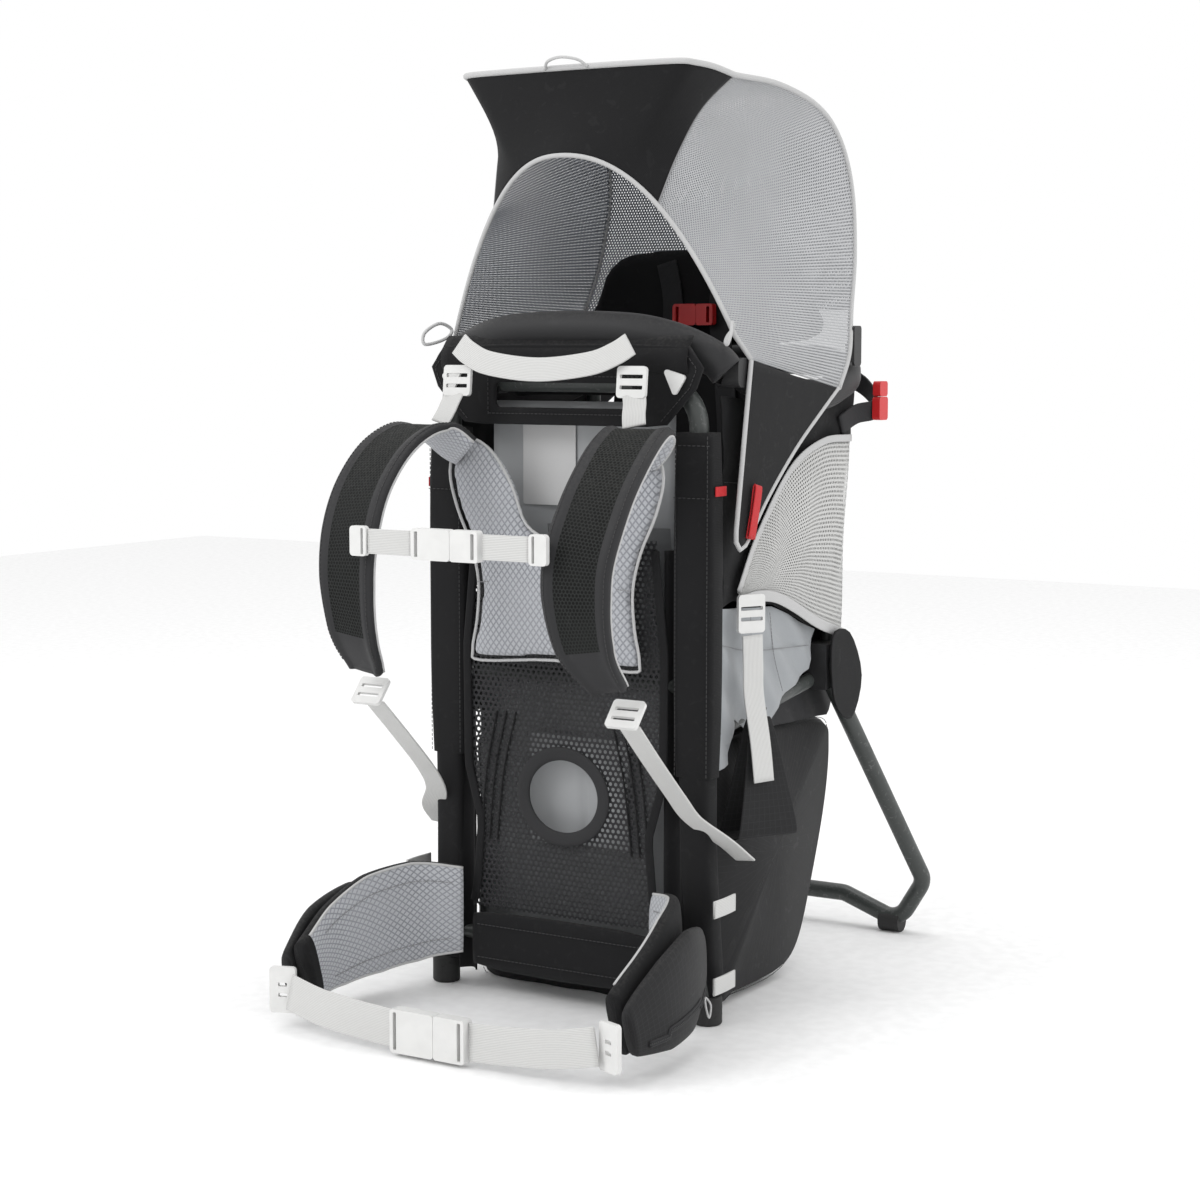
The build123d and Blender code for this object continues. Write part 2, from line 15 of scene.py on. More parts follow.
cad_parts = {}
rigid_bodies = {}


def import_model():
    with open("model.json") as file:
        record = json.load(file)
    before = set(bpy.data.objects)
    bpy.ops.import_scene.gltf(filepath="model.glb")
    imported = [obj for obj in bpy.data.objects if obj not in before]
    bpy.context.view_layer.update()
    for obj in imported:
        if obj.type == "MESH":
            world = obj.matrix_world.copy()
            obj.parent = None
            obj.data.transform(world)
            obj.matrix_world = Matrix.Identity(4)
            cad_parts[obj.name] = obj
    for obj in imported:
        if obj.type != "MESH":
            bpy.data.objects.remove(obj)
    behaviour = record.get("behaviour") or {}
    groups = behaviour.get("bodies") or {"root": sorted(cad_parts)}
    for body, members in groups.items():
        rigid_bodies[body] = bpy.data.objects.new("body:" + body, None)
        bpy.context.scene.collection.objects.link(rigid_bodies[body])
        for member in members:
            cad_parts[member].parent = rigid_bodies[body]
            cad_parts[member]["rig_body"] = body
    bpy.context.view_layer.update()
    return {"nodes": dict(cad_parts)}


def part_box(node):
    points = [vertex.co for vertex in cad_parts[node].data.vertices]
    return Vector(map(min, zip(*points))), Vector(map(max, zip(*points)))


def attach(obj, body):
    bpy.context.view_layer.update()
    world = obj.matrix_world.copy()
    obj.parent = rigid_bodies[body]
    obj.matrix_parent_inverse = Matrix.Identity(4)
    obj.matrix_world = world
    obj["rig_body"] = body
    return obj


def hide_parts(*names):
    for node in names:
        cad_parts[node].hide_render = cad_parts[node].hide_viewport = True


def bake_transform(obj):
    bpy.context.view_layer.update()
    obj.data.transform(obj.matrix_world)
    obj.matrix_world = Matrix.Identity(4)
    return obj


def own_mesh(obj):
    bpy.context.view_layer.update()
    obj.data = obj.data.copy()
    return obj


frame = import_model()
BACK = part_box("back_mesh_panel")[1].y
LOG = logging.getLogger("carrier")

RIGHT = Vector((1, 0, 0))
REAR = Vector((0, 1, 0))
FRONT = Vector((0, -1, 0))
UP = Vector((0, 0, 1))
Points = list[Vector]
Outline = list[tuple[float, float]]


# --- Small geometry ------------------------------------------------------------------------
def at(x: float, y: float, z: float) -> Vector:
    """Point given from the back panel, in metres.

    Args:
        x: Sideways, positive towards the row frame's +X.
        y: Distance behind the back panel's rear face.
        z: Height above the floor.

    Returns:
        The point in the row frame.
    """
    return Vector((x, BACK + y, z))


def through(points: list[tuple[float, float, float]]) -> Points:
    """Points given from the back panel, as row frame vectors."""
    return [at(*p) for p in points]


def smooth(points: Points, per: int = 8, closed: bool = False) -> Points:
    """Catmull-Rom line through points.

    Args:
        points: The points that the line passes through.
        per: Samples for each span.
        closed: Whether the line joins its own start.

    Returns:
        The sampled line.
    """
    n = len(points)
    spans = n if closed else n - 1
    line: Points = []
    for i in range(spans):
        if closed:
            a, b, c, d = (points[(i + k) % n] for k in (-1, 0, 1, 2))
        else:
            b, c = points[i], points[i + 1]
            a = points[i - 1] if i else b * 2 - c
            d = points[i + 2] if i + 2 < n else c * 2 - b
        for k in range(per):
            t = k / per
            line.append(0.5 * (2 * b + (c - a) * t + (2 * a - 5 * b + 4 * c - d) * t * t
                               + (3 * b - a - 3 * c + d) * t ** 3))
    if not closed:
        line.append(points[-1].copy())
    return line


def evenly(points: Points, count: int) -> Points:
    """The same line with a given number of evenly spaced points.

    Args:
        points: The line.
        count: How many points it gets.

    Returns:
        The new points.
    """
    steps = [0.0]
    for a, b in zip(points, points[1:]):
        steps.append(steps[-1] + (b - a).length)
    made: Points = []
    j = 0
    for i in range(count):
        want = steps[-1] * i / (count - 1)
        while j < len(points) - 2 and steps[j + 1] < want:
            j += 1
        share = (want - steps[j]) / max(steps[j + 1] - steps[j], 1e-9)
        made.append(points[j].lerp(points[j + 1], min(max(share, 0.0), 1.0)))
    return made


def blend_values(values: list[float], count: int) -> list[float]:
    """Values spread smoothly over a number of stations."""
    xs = np.linspace(0, 1, len(values))
    return [float(v) for v in np.interp(np.linspace(0, 1, count), xs, values)]


def directions(points: Points) -> Points:
    """Unit tangent at each point of a line."""
    last = len(points) - 1
    return [(points[min(i + 1, last)] - points[max(i - 1, 0)]).normalized() for i in range(last + 1)]


def make(name: str, verts: Points, faces: list[tuple[int, ...]], uvs: list[tuple[float, float]] | None,
         material: bpy.types.Material, closed: bool = True, extra: list[bpy.types.Material] | None = None,
         slots: list[int] | None = None) -> bpy.types.Object:
    """Mesh object with its place in its mesh.

    Args:
        name: Object name.
        verts: Vertices in the row frame.
        faces: Faces as vertex indices.
        uvs: One UV for each face corner, in metres, or None.
        material: Its finish.
        closed: Whether the surface is closed, so that its normals can be turned outwards.
        extra: Further finishes.
        slots: Which finish each face takes.

    Returns:
        The linked object.
    """
    mesh = bpy.data.meshes.new(name)
    mesh.from_pydata([tuple(v) for v in verts], [], faces)
    if uvs is not None:
        layer = mesh.uv_layers.new(name="UVMap")
        layer.data.foreach_set("uv", [c for uv in uvs for c in uv])
    mesh.polygons.foreach_set("use_smooth", [True] * len(mesh.polygons))
    for finish in [material, *(extra or [])]:
        mesh.materials.append(finish)
    if slots is not None:
        mesh.polygons.foreach_set("material_index", slots)
    mesh.validate()
    obj = bpy.data.objects.new(name, mesh)
    bpy.context.scene.collection.objects.link(obj)
    if closed:
        outwards(obj)
    return obj


def outwards(obj: bpy.types.Object) -> None:
    """Turns a closed mesh's faces outwards.

    Args:
        obj: The piece, changed in place.
    """
    work = bmesh.new()
    work.from_mesh(obj.data)
    bmesh.ops.remove_doubles(work, verts=work.verts, dist=1e-6)
    bmesh.ops.recalc_face_normals(work, faces=work.faces)
    work.to_mesh(obj.data)
    work.free()


def skin(name: str, rings: list[Points], material: bpy.types.Material, ring_closed: bool = True,
         caps: bool = True, extra: list[bpy.types.Material] | None = None,
         paint: Callable[[float, float], int] | None = None) -> bpy.types.Object:
    """Surface through rings of equal length, with UVs in metres.

    Args:
        name: Object name.
        rings: Rows of points.
        material: Its finish.
        ring_closed: Whether each row joins its own start.
        caps: Whether the first and last rings are filled.
        extra: Further finishes.
        paint: Which finish a face takes, from its share of the way round and along.

    Returns:
        The linked object.
    """
    n, m = len(rings), len(rings[0])
    slots: list[int] = []
    verts = [p for ring in rings for p in ring]
    across = [0.0]
    middle = rings[n // 2]
    for i in range(m):
        across.append(across[-1] + (middle[(i + 1) % m] - middle[i]).length)
    along = [0.0]
    for a, b in zip(rings, rings[1:]):
        along.append(along[-1] + sum((q - p).length for p, q in zip(a, b)) / m)
    faces: list[tuple[int, ...]] = []
    uvs: list[tuple[float, float]] = []
    for r in range(n - 1):
        for c in range(m if ring_closed else m - 1):
            d = (c + 1) % m
            faces.append((r * m + c, r * m + d, (r + 1) * m + d, (r + 1) * m + c))
            slots.append(paint((c + 0.5) / m, (r + 0.5) / (n - 1)) if paint else 0)
            uvs += [(across[c], along[r]), (across[c + 1], along[r]),
                    (across[c + 1], along[r + 1]), (across[c], along[r + 1])]
    if ring_closed and caps:
        for r, order in ((0, range(m - 1, -1, -1)), (n - 1, range(m))):
            centre = sum(rings[r], Vector()) / m
            verts.append(centre)
            ring = list(order)
            for k in range(m):
                a, b = ring[k], ring[(k + 1) % m]
                faces.append((r * m + a, r * m + b, len(verts) - 1))
                slots.append(0)
                uvs += [(across[a], along[r]), (across[b], along[r]), (across[a], along[r] + 0.004)]
    return make(name, verts, faces, uvs, material, ring_closed and caps, extra, slots)


def pad_rings(path: Points, across: Vector | Points, widths: list[float], thicks: list[float],
              power: float = 3.0, sides: int = 28) -> list[Points]:
    """Rounded flat cross-sections along a path.

    Args:
        path: Middle line.
        across: Direction of the width, one for all or one for each point.
        widths: Width at each point.
        thicks: Thickness at each point.
        power: 2 gives an ellipse and more gives squarer edges.
        sides: Points in each section.

    Returns:
        One ring for each point of the path.
    """
    acrosses = [across] * len(path) if isinstance(across, Vector) else across
    rings = []
    for p, t, a, w, h in zip(path, directions(path), acrosses, widths, thicks):
        a = (a - t * a.dot(t)).normalized()
        n = t.cross(a).normalized()
        ring = []
        for k in range(sides):
            angle = math.tau * k / sides
            c, s = math.cos(angle), math.sin(angle)
            x = math.copysign(abs(c) ** (2 / power), c) * w / 2
            y = math.copysign(abs(s) ** (2 / power), s) * h / 2
            ring.append(p + a * x + n * y)
        rings.append(ring)
    return rings


def webbing(name: str, points: list[tuple[float, float, float]], across: Vector | Points, width: float,
            material: bpy.types.Material, thick: float = 0.0022, per: int = 6) -> bpy.types.Object:
    """Flat woven strap through points given from the back panel.

    Args:
        name: Object name.
        points: The strap's middle line.
        across: Direction of its width.
        width: Its width.
        material: Its finish.
        thick: Its thickness.
        per: Samples for each span.

    Returns:
        The linked object.
    """
    path = smooth(through(points), per)
    if not isinstance(across, Vector):
        spread = evenly(smooth(across, per), len(path))
        across = [a.normalized() for a in spread]
    rings = pad_rings(path, across, [width] * len(path), [thick] * len(path), 9.0, 20)
    return skin(name, rings, material)


def pipe(name: str, path: Points, radius: float, material: bpy.types.Material, closed: bool = False,
         sides: int = 10, flat: float = 1.0) -> bpy.types.Object:
    """Round or slightly flat piping along a line.

    Args:
        name: Object name.
        path: Middle line.
        radius: Its radius.
        material: Its finish.
        closed: Whether the line joins its own start.
        sides: Points in each section.
        flat: Share of the radius in the second direction.

    Returns:
        The linked object.
    """
    if closed:
        path = path + [path[0]]
    tangents = directions(path)
    if closed:
        tangents[0] = tangents[-1] = (path[1] - path[-2]).normalized()
    up = UP if abs(tangents[0].z) < 0.9 else RIGHT
    rings = []
    for p, t in zip(path, tangents):
        up = (up - t * up.dot(t)).normalized()
        other = t.cross(up)
        rings.append([p + up * math.cos(a) * radius + other * math.sin(a) * radius * flat
                      for a in (math.tau * k / sides for k in range(sides))])
    return skin(name, rings, material, caps=not closed)


def sheet(name: str, rows: list[Points], material: bpy.types.Material, thick: float = 0.0016,
          inner: bpy.types.Material | None = None, outward: Vector | None = None) -> bpy.types.Object:
    """Open cloth surface through rows, given a thickness.

    Args:
        name: Object name.
        rows: Rows of points.
        material: The finish of its outer face.
        thick: Its thickness.
        inner: The finish of its inner face, where that differs.
        outward: The direction that its outer face looks.

    Returns:
        The linked object.
    """
    obj = skin(name, rows, material, ring_closed=False)
    if outward is not None:
        polygons = obj.data.polygons
        facing = sum(p.area * p.normal.dot(outward) for p in polygons)
        if facing < 0:
            obj.data.flip_normals()
    solid = obj.modifiers.new("thickness", "SOLIDIFY")
    solid.thickness = thick
    solid.offset = 0.0
    if inner is not None:
        obj.data.materials.append(inner)
        solid.material_offset = 1
    return obj


def cut_plate(name: str, outline: Outline, holes: list[Outline], thick: float, origin: Vector, x_axis: Vector,
              y_axis: Vector, material: bpy.types.Material, bevel: float = 0.0008) -> bpy.types.Object:
    """Flat plate with rounded edges and holes.

    Args:
        name: Object name.
        outline: Its outline, in metres in its own plane.
        holes: Outlines of its holes.
        thick: Thickness.
        origin: Where the plane's zero lies.
        x_axis: The plane's first direction.
        y_axis: The plane's second direction.
        material: Its finish.
        bevel: Radius of its edges.

    Returns:
        The linked object.
    """
    curve = bpy.data.curves.new(name, "CURVE")
    curve.dimensions = "2D"
    curve.fill_mode = "BOTH"
    for loop in [outline, *holes]:
        spline = curve.splines.new("POLY")
        spline.points.add(len(loop) - 1)
        spline.points.foreach_set("co", [c for x, y in loop for c in (x, y, 0.0, 1.0)])
        spline.use_cyclic_u = True
    curve.extrude = thick / 2 - bevel
    curve.bevel_depth = bevel
    curve.bevel_resolution = 2
    curve.offset = -bevel
    holder = bpy.data.objects.new(name, curve)
    mesh = bpy.data.meshes.new_from_object(holder)
    bpy.data.objects.remove(holder)
    bpy.data.curves.remove(curve)
    mesh.name = name
    x_axis, y_axis = x_axis.normalized(), y_axis.normalized()
    z_axis = x_axis.cross(y_axis).normalized()
    layer = mesh.uv_layers.new(name="UVMap")
    for loop in mesh.loops:
        co = mesh.vertices[loop.vertex_index].co
        layer.data[loop.index].uv = (co.x, co.y)
    turn = Matrix((x_axis, y_axis, z_axis)).transposed().to_4x4()
    mesh.transform(Matrix.Translation(origin) @ turn)
    mesh.materials.clear()
    mesh.materials.append(material)
    obj = bpy.data.objects.new(name, mesh)
    bpy.context.scene.collection.objects.link(obj)
    outwards(obj)
    return obj


def rounded(width: float, height: float, radius: float, cx: float = 0.0, cy: float = 0.0,
            steps: int = 5) -> Outline:
    """Rounded rectangle outline.

    Args:
        width: Width.
        height: Height.
        radius: Corner radius.
        cx: Middle, sideways.
        cy: Middle, upwards.
        steps: Spans in each corner.

    Returns:
        The outline.
    """
    loop: Outline = []
    for i, (sx, sy) in enumerate(((1, 1), (-1, 1), (-1, -1), (1, -1))):
        for k in range(steps + 1):
            angle = math.pi / 2 * (i + k / steps)
            loop.append((cx + sx * (width / 2 - radius) + radius * math.cos(angle),
                         cy + sy * (height / 2 - radius) + radius * math.sin(angle)))
    return loop


def soft_outline(points: Outline, per: int = 6) -> Outline:
    """Closed smooth outline through points."""
    return [(p.x, p.y) for p in smooth([Vector((x, y, 0)) for x, y in points], per, closed=True)]


def join(name: str, parts: list[bpy.types.Object]) -> bpy.types.Object:
    """One object from several, with their modifiers applied and their materials kept.

    Args:
        name: Object name.
        parts: The pieces, which are removed.

    Returns:
        The linked object.
    """
    graph = bpy.context.evaluated_depsgraph_get()
    work = bmesh.new()
    work.loops.layers.uv.new("UVMap")
    materials: list[bpy.types.Material] = []
    for part in parts:
        graph.update()
        mesh = bpy.data.meshes.new_from_object(part.evaluated_get(graph))
        slots = []
        for m in mesh.materials:
            if m not in materials:
                materials.append(m)
            slots.append(materials.index(m))
        before = len(work.faces)
        work.from_mesh(mesh)
        work.faces.ensure_lookup_table()
        for face in work.faces[before:]:
            face.material_index = slots[face.material_index] if slots else 0
        bpy.data.meshes.remove(mesh)
        bpy.data.objects.remove(part)
    mesh = bpy.data.meshes.new(name)
    work.to_mesh(mesh)
    work.free()
    for m in materials:
        mesh.materials.append(m)
    obj = bpy.data.objects.new(name, mesh)
    bpy.context.scene.collection.objects.link(obj)
    return obj


def both_sides(obj: bpy.types.Object) -> bpy.types.Object:
    """Adds the piece's mirror image, on the object's other side, to the same piece.

    Args:
        obj: The piece, whose modifiers are applied.

    Returns:
        The same piece.
    """
    graph = bpy.context.evaluated_depsgraph_get()
    graph.update()
    mesh = bpy.data.meshes.new_from_object(obj.evaluated_get(graph))
    obj.modifiers.clear()
    work = bmesh.new()
    work.from_mesh(mesh)
    made = bmesh.ops.duplicate(work, geom=work.verts[:] + work.edges[:] + work.faces[:])["geom"]
    for v in (g for g in made if isinstance(g, bmesh.types.BMVert)):
        v.co.x = -v.co.x
    bmesh.ops.reverse_faces(work, faces=[g for g in made if isinstance(g, bmesh.types.BMFace)])
    work.to_mesh(obj.data)
    work.free()
    bpy.data.meshes.remove(mesh)
    return obj


def other_side(obj: bpy.types.Object, name: str) -> bpy.types.Object:
    """A mirrored copy as a piece of its own.

    Args:
        obj: The piece to copy.
        name: The copy's name.

    Returns:
        The copy.
    """
    twin = obj.copy()
    twin.data = obj.data.copy()
    twin.name = twin.data.name = name
    for v in twin.data.vertices:
        v.co.x = -v.co.x
    twin.data.flip_normals()
    bpy.context.scene.collection.objects.link(twin)
    return twin


def refine(obj: bpy.types.Object, longest: float) -> bpy.types.Object:
    """Divides a piece's long edges, so that it can be shaped.

    Args:
        obj: The piece, changed in place.
        longest: The longest edge that stays.

    Returns:
        The same piece.
    """
    work = bmesh.new()
    work.from_mesh(obj.data)
    for _ in range(9):
        long = [e for e in work.edges if e.calc_length() > longest]
        if not long:
            break
        bmesh.ops.subdivide_edges(work, edges=long, cuts=1)
        bmesh.ops.triangulate(work, faces=[f for f in work.faces if len(f.verts) > 3])
    work.to_mesh(obj.data)
    work.free()
    obj.data.polygons.foreach_set("use_smooth", [True] * len(obj.data.polygons))
    return obj


def shape(obj: bpy.types.Object, rule: Callable[[Vector], Vector]) -> bpy.types.Object:
    """Moves each point of a piece by a rule given its place."""
    for v in obj.data.vertices:
        v.co = rule(v.co)
    obj.data.update()
    return obj


def dress(obj: bpy.types.Object, body: str, slot: str, *nodes: str) -> bpy.types.Object:
    """Makes a finished piece ride on a body and stand for CAD nodes, whose parts it hides.

    Args:
        obj: The piece.
        body: The CAD body that it rides on.
        slot: Not used.
        nodes: The CAD nodes that it stands for.

    Returns:
        The same piece.
    """
    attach(obj, body)
    if nodes:
        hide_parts(*nodes)
    LOG.info("%s: %d faces on %s", obj.name, len(obj.data.polygons), body)
    return obj


def stand_in(obj: bpy.types.Object, slot: str, *nodes: str, fill: float = -1.0) -> bpy.types.Object:
    """Dresses a piece that stands for CAD nodes and rides on their body.

    Args:
        obj: The piece.
        slot: Its material slot; passed on to dress, which does not use it.
        nodes: The CAD nodes that it stands for.
        fill: How full it is, for a padded piece. Not used.

    Returns:
        The same piece.
    """
    dress(obj, frame["nodes"][nodes[0]]["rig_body"], slot, *nodes)
    return obj


def bridge(obj: bpy.types.Object, a: str, b: str, node: str) -> bpy.types.Object:
    """Hides a webbing's CAD node and fixes the webbing in place, naming in the log the two bodies that it
    runs between; it rides on neither.

    Args:
        obj: The webbing.
        a: The body at its first end, named only in the log.
        b: The body at its last end, named only in the log.
        node: The CAD node that it stands for.

    Returns:
        The same piece.
    """
    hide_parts(node)
    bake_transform(obj)
    LOG.info("%s: %d faces from %s to %s", obj.name, len(obj.data.polygons), a, b)
    return obj


def as_sheet(obj: bpy.types.Object, rows: list[Points]) -> bpy.types.Object:
    """Works out a cloth piece's width and length from the rows that it was made through, and keeps neither.

    Args:
        obj: The piece.
        rows: Rows of points.

    Returns:
        The same piece.
    """
    width = max(sum((b - a).length for a, b in zip(row, row[1:])) for row in rows)
    columns = list(zip(*rows))
    length = max(sum((b - a).length for a, b in zip(col, col[1:])) for col in columns)
    for low, high in zip(rows, rows[1:]):
        for a, b, c, d in zip(low, low[1:], high[1:], high):
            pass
    return obj


# --- Shader trees --------------------------------------------------------------------------
@dataclass
class Graph:
    """Short way to write a node tree."""

    tree: bpy.types.NodeTree

    def add(self, kind: str, *values: object, **settings: object) -> bpy.types.Node:
        """Adds a node.

        Args:
            kind: Node type.
            values: For each input in turn, a socket to link, a value to set or None.
            settings: The node's own properties.

        Returns:
            The node.
        """
        node = self.tree.nodes.new(kind)
        for key, value in settings.items():
            setattr(node, key, value)
        for i, value in enumerate(values):
            if isinstance(value, bpy.types.NodeSocket):
                self.tree.links.new(value, node.inputs[i])
            elif value is not None:
                node.inputs[i].default_value = value
        return node

    def math(self, operation: str, *values: object) -> bpy.types.NodeSocket:
        """Adds a Math node and returns its value."""
        return self.add("ShaderNodeMath", *values, operation=operation).outputs[0]

    def parts(self, vector: bpy.types.NodeSocket) -> tuple[bpy.types.NodeSocket, ...]:
        """Splits a vector into x, y and z."""
        return tuple(self.add("ShaderNodeSeparateXYZ", vector).outputs)

    def spread(self, value: bpy.types.NodeSocket, low: float, high: float, to_low: float = 0.0,
               to_high: float = 1.0) -> bpy.types.NodeSocket:
        """Maps a value from one range to another, smoothly and clamped."""
        return self.add("ShaderNodeMapRange", value, low, high, to_low, to_high,
                        interpolation_type="SMOOTHSTEP").outputs[0]

    def mix(self, share: object, a: object, b: object) -> bpy.types.NodeSocket:
        """Mixes two colours.

        Args:
            share: Share of the second colour.
            a: First colour.
            b: Second colour.

        Returns:
            The mixed colour.
        """
        node = self.tree.nodes.new("ShaderNodeMix")
        node.data_type = "RGBA"
        for i, value in ((0, share), (6, a), (7, b)):
            if isinstance(value, bpy.types.NodeSocket):
                self.tree.links.new(value, node.inputs[i])
            else:
                node.inputs[i].default_value = value
        return node.outputs[2]


def group(name: str, inputs: dict[str, float | None], outputs: list[str]) -> tuple[Graph, dict, dict]:
    """Starts a shader node group.

    Args:
        name: Its name.
        inputs: Its inputs, each a starting value, or None for a vector.
        outputs: Names of its values.

    Returns:
        Its graph, the sockets that bring its inputs and the sockets that take its outputs.
    """
    tree = bpy.data.node_groups.new(name, "ShaderNodeTree")
    for key, value in inputs.items():
        kind = "NodeSocketVector" if value is None else "NodeSocketFloat"
        socket = tree.interface.new_socket(key, in_out="INPUT", socket_type=kind)
        if value is not None:
            socket.default_value = value
    for key in outputs:
        tree.interface.new_socket(key, in_out="OUTPUT", socket_type="NodeSocketFloat")
    graph = Graph(tree)
    start, end = tree.nodes.new("NodeGroupInput"), tree.nodes.new("NodeGroupOutput")
    return graph, {k: start.outputs[k] for k in inputs}, {k: end.inputs[k] for k in outputs}


class Weave(Enum):
    """How a cloth's threads lie."""

    PLAIN = "plain_weave"
    TWILL = "twill_weave"
    RIPSTOP = "ripstop_weave"
    RIBBED = "ribbed_weave"
    LATTICE = "lattice_relief"
    HOLES = "hexagon_holes"


class Coords(Enum):
    """Where a pattern takes its two directions from."""

    SURFACE = "uv"
    FRONT = "xz"
    SIDE = "yz"


def weave_group(weave: Weave) -> bpy.types.NodeTree:
    """Group that gives a weave's height and its tone over a pair of coordinates.

    Args:
        weave: Which weave.

    Returns:
        The group, built once.
    """
    if weave.value in bpy.data.node_groups:
        return bpy.data.node_groups[weave.value]
    g, source, out = group(weave.value, {"Vector": None, "Pitch": 0.002, "Hole": 0.3}, ["Height", "Tone"])
    x, y, _ = g.parts(source["Vector"])
    u, v = g.math("DIVIDE", x, source["Pitch"]), g.math("DIVIDE", y, source["Pitch"])
    turn_u, turn_v = g.math("MULTIPLY", u, math.tau), g.math("MULTIPLY", v, math.tau)
    if weave is Weave.TWILL:
        height = g.math("SINE", g.math("ADD", turn_u, turn_v))
        height = g.math("MULTIPLY_ADD", height, 0.4, 0.5)
        tone = height
    elif weave is Weave.RIBBED:
        rib = g.math("ABSOLUTE", g.math("SINE", g.math("MULTIPLY", turn_u, 0.5)))
        pick = g.math("SINE", g.math("ADD", g.math("MULTIPLY", turn_v, 1.6), g.math("MULTIPLY", turn_u, 0.5)))
        height = g.math("MULTIPLY_ADD", pick, 0.18, rib)
        tone = height
    elif weave is Weave.LATTICE:
        a = g.math("PINGPONG", g.math("ADD", u, g.math("MULTIPLY", v, 0.8)), 0.5)
        b = g.math("PINGPONG", g.math("SUBTRACT", u, g.math("MULTIPLY", v, 0.8)), 0.5)
        edge = g.math("MINIMUM", a, b)
        height = g.spread(edge, 0.04, 0.22)
        tone = height
    elif weave is Weave.HOLES:
        def nearest(du: float, dv: float) -> bpy.types.NodeSocket:
            """Distance to the nearest hole of one of the two rows."""
            p = g.math("SUBTRACT", g.math("FRACT", g.math("ADD", u, du)), 0.5)
            q = g.math("FRACT", g.math("ADD", g.math("DIVIDE", v, math.sqrt(3)), dv))
            q = g.math("MULTIPLY", g.math("SUBTRACT", q, 0.5), math.sqrt(3))
            return g.math("SQRT", g.math("ADD", g.math("MULTIPLY", p, p), g.math("MULTIPLY", q, q)))

        far = g.math("MINIMUM", nearest(0.0, 0.0), nearest(0.5, 0.5))
        height = g.spread(far, 0.25, 0.5)
        tone = g.math("GREATER_THAN", far, source["Hole"])
    else:
        height = g.math("MULTIPLY", g.math("SINE", turn_u), g.math("SINE", turn_v))
        height = g.math("MULTIPLY_ADD", height, 0.35, 0.5)
        tone = height
        if weave is Weave.RIPSTOP:
            cells = [g.math("PINGPONG", g.math("DIVIDE", w, 4.0), 0.5) for w in (u, v)]
            line = g.spread(g.math("MINIMUM", *cells), 0.0, 0.09, 1.0, 0.0)
            height = g.math("ADD", height, line)
            tone = g.math("MAXIMUM", g.math("MULTIPLY", tone, 0.4), line)
    g.tree.links.new(height, out["Height"])
    g.tree.links.new(tone, out["Tone"])
    return g.tree


def handling_group() -> bpy.types.NodeTree:
    """Group that gives the marks of use: broad tone, fine scuffs and settled dust."""
    if "handling" in bpy.data.node_groups:
        return bpy.data.node_groups["handling"]
    g, source, out = group("handling", {"Vector": None, "Scale": 40.0, "Dust": 0.1},
                           ["Tone", "Scuffs", "Dust", "Grain"])
    broad = g.add("ShaderNodeTexNoise", source["Vector"], None, source["Scale"]).outputs[0]
    fine = g.add("ShaderNodeTexNoise", source["Vector"], None, g.math("MULTIPLY", source["Scale"], 22.0))
    fine.inputs["Detail"].default_value = 4.0
    streak = g.add("ShaderNodeTexNoise", source["Vector"], None, g.math("MULTIPLY", source["Scale"], 5.0))
    streak.inputs["Distortion"].default_value = 1.5
    up = g.parts(g.add("ShaderNodeNewGeometry").outputs["Normal"])[2]
    dust = g.math("MULTIPLY", g.spread(up, 0.2, 1.0), g.spread(fine.outputs[0], 0.4, 0.65))
    g.tree.links.new(g.spread(broad, 0.3, 0.7), out["Tone"])
    g.tree.links.new(g.spread(streak.outputs[0], 0.58, 0.72), out["Scuffs"])
    g.tree.links.new(g.math("MULTIPLY", dust, source["Dust"]), out["Dust"])
    g.tree.links.new(fine.outputs[0], out["Grain"])
    return g.tree


Colour = tuple[float, float, float]


def started(name: str) -> tuple[bpy.types.Material, Graph, bpy.types.Node]:
    """A new material with its graph and its main shader."""
    material = bpy.data.materials.new(name)
    material.use_nodes = True
    return material, Graph(material.node_tree), material.node_tree.nodes["Principled BSDF"]


def placed(g: Graph, tree: bpy.types.NodeTree, vector: bpy.types.NodeSocket,
           **values: float) -> bpy.types.Node:
    """Puts a shader group in a material with its own values.

    Args:
        g: The material's graph.
        tree: The group.
        vector: The coordinates that it reads.
        values: Its named inputs.

    Returns:
        The group's node.
    """
    node = g.add("ShaderNodeGroup", node_tree=tree)
    g.tree.links.new(vector, node.inputs["Vector"])
    for key, value in values.items():
        node.inputs[key].default_value = value
    return node


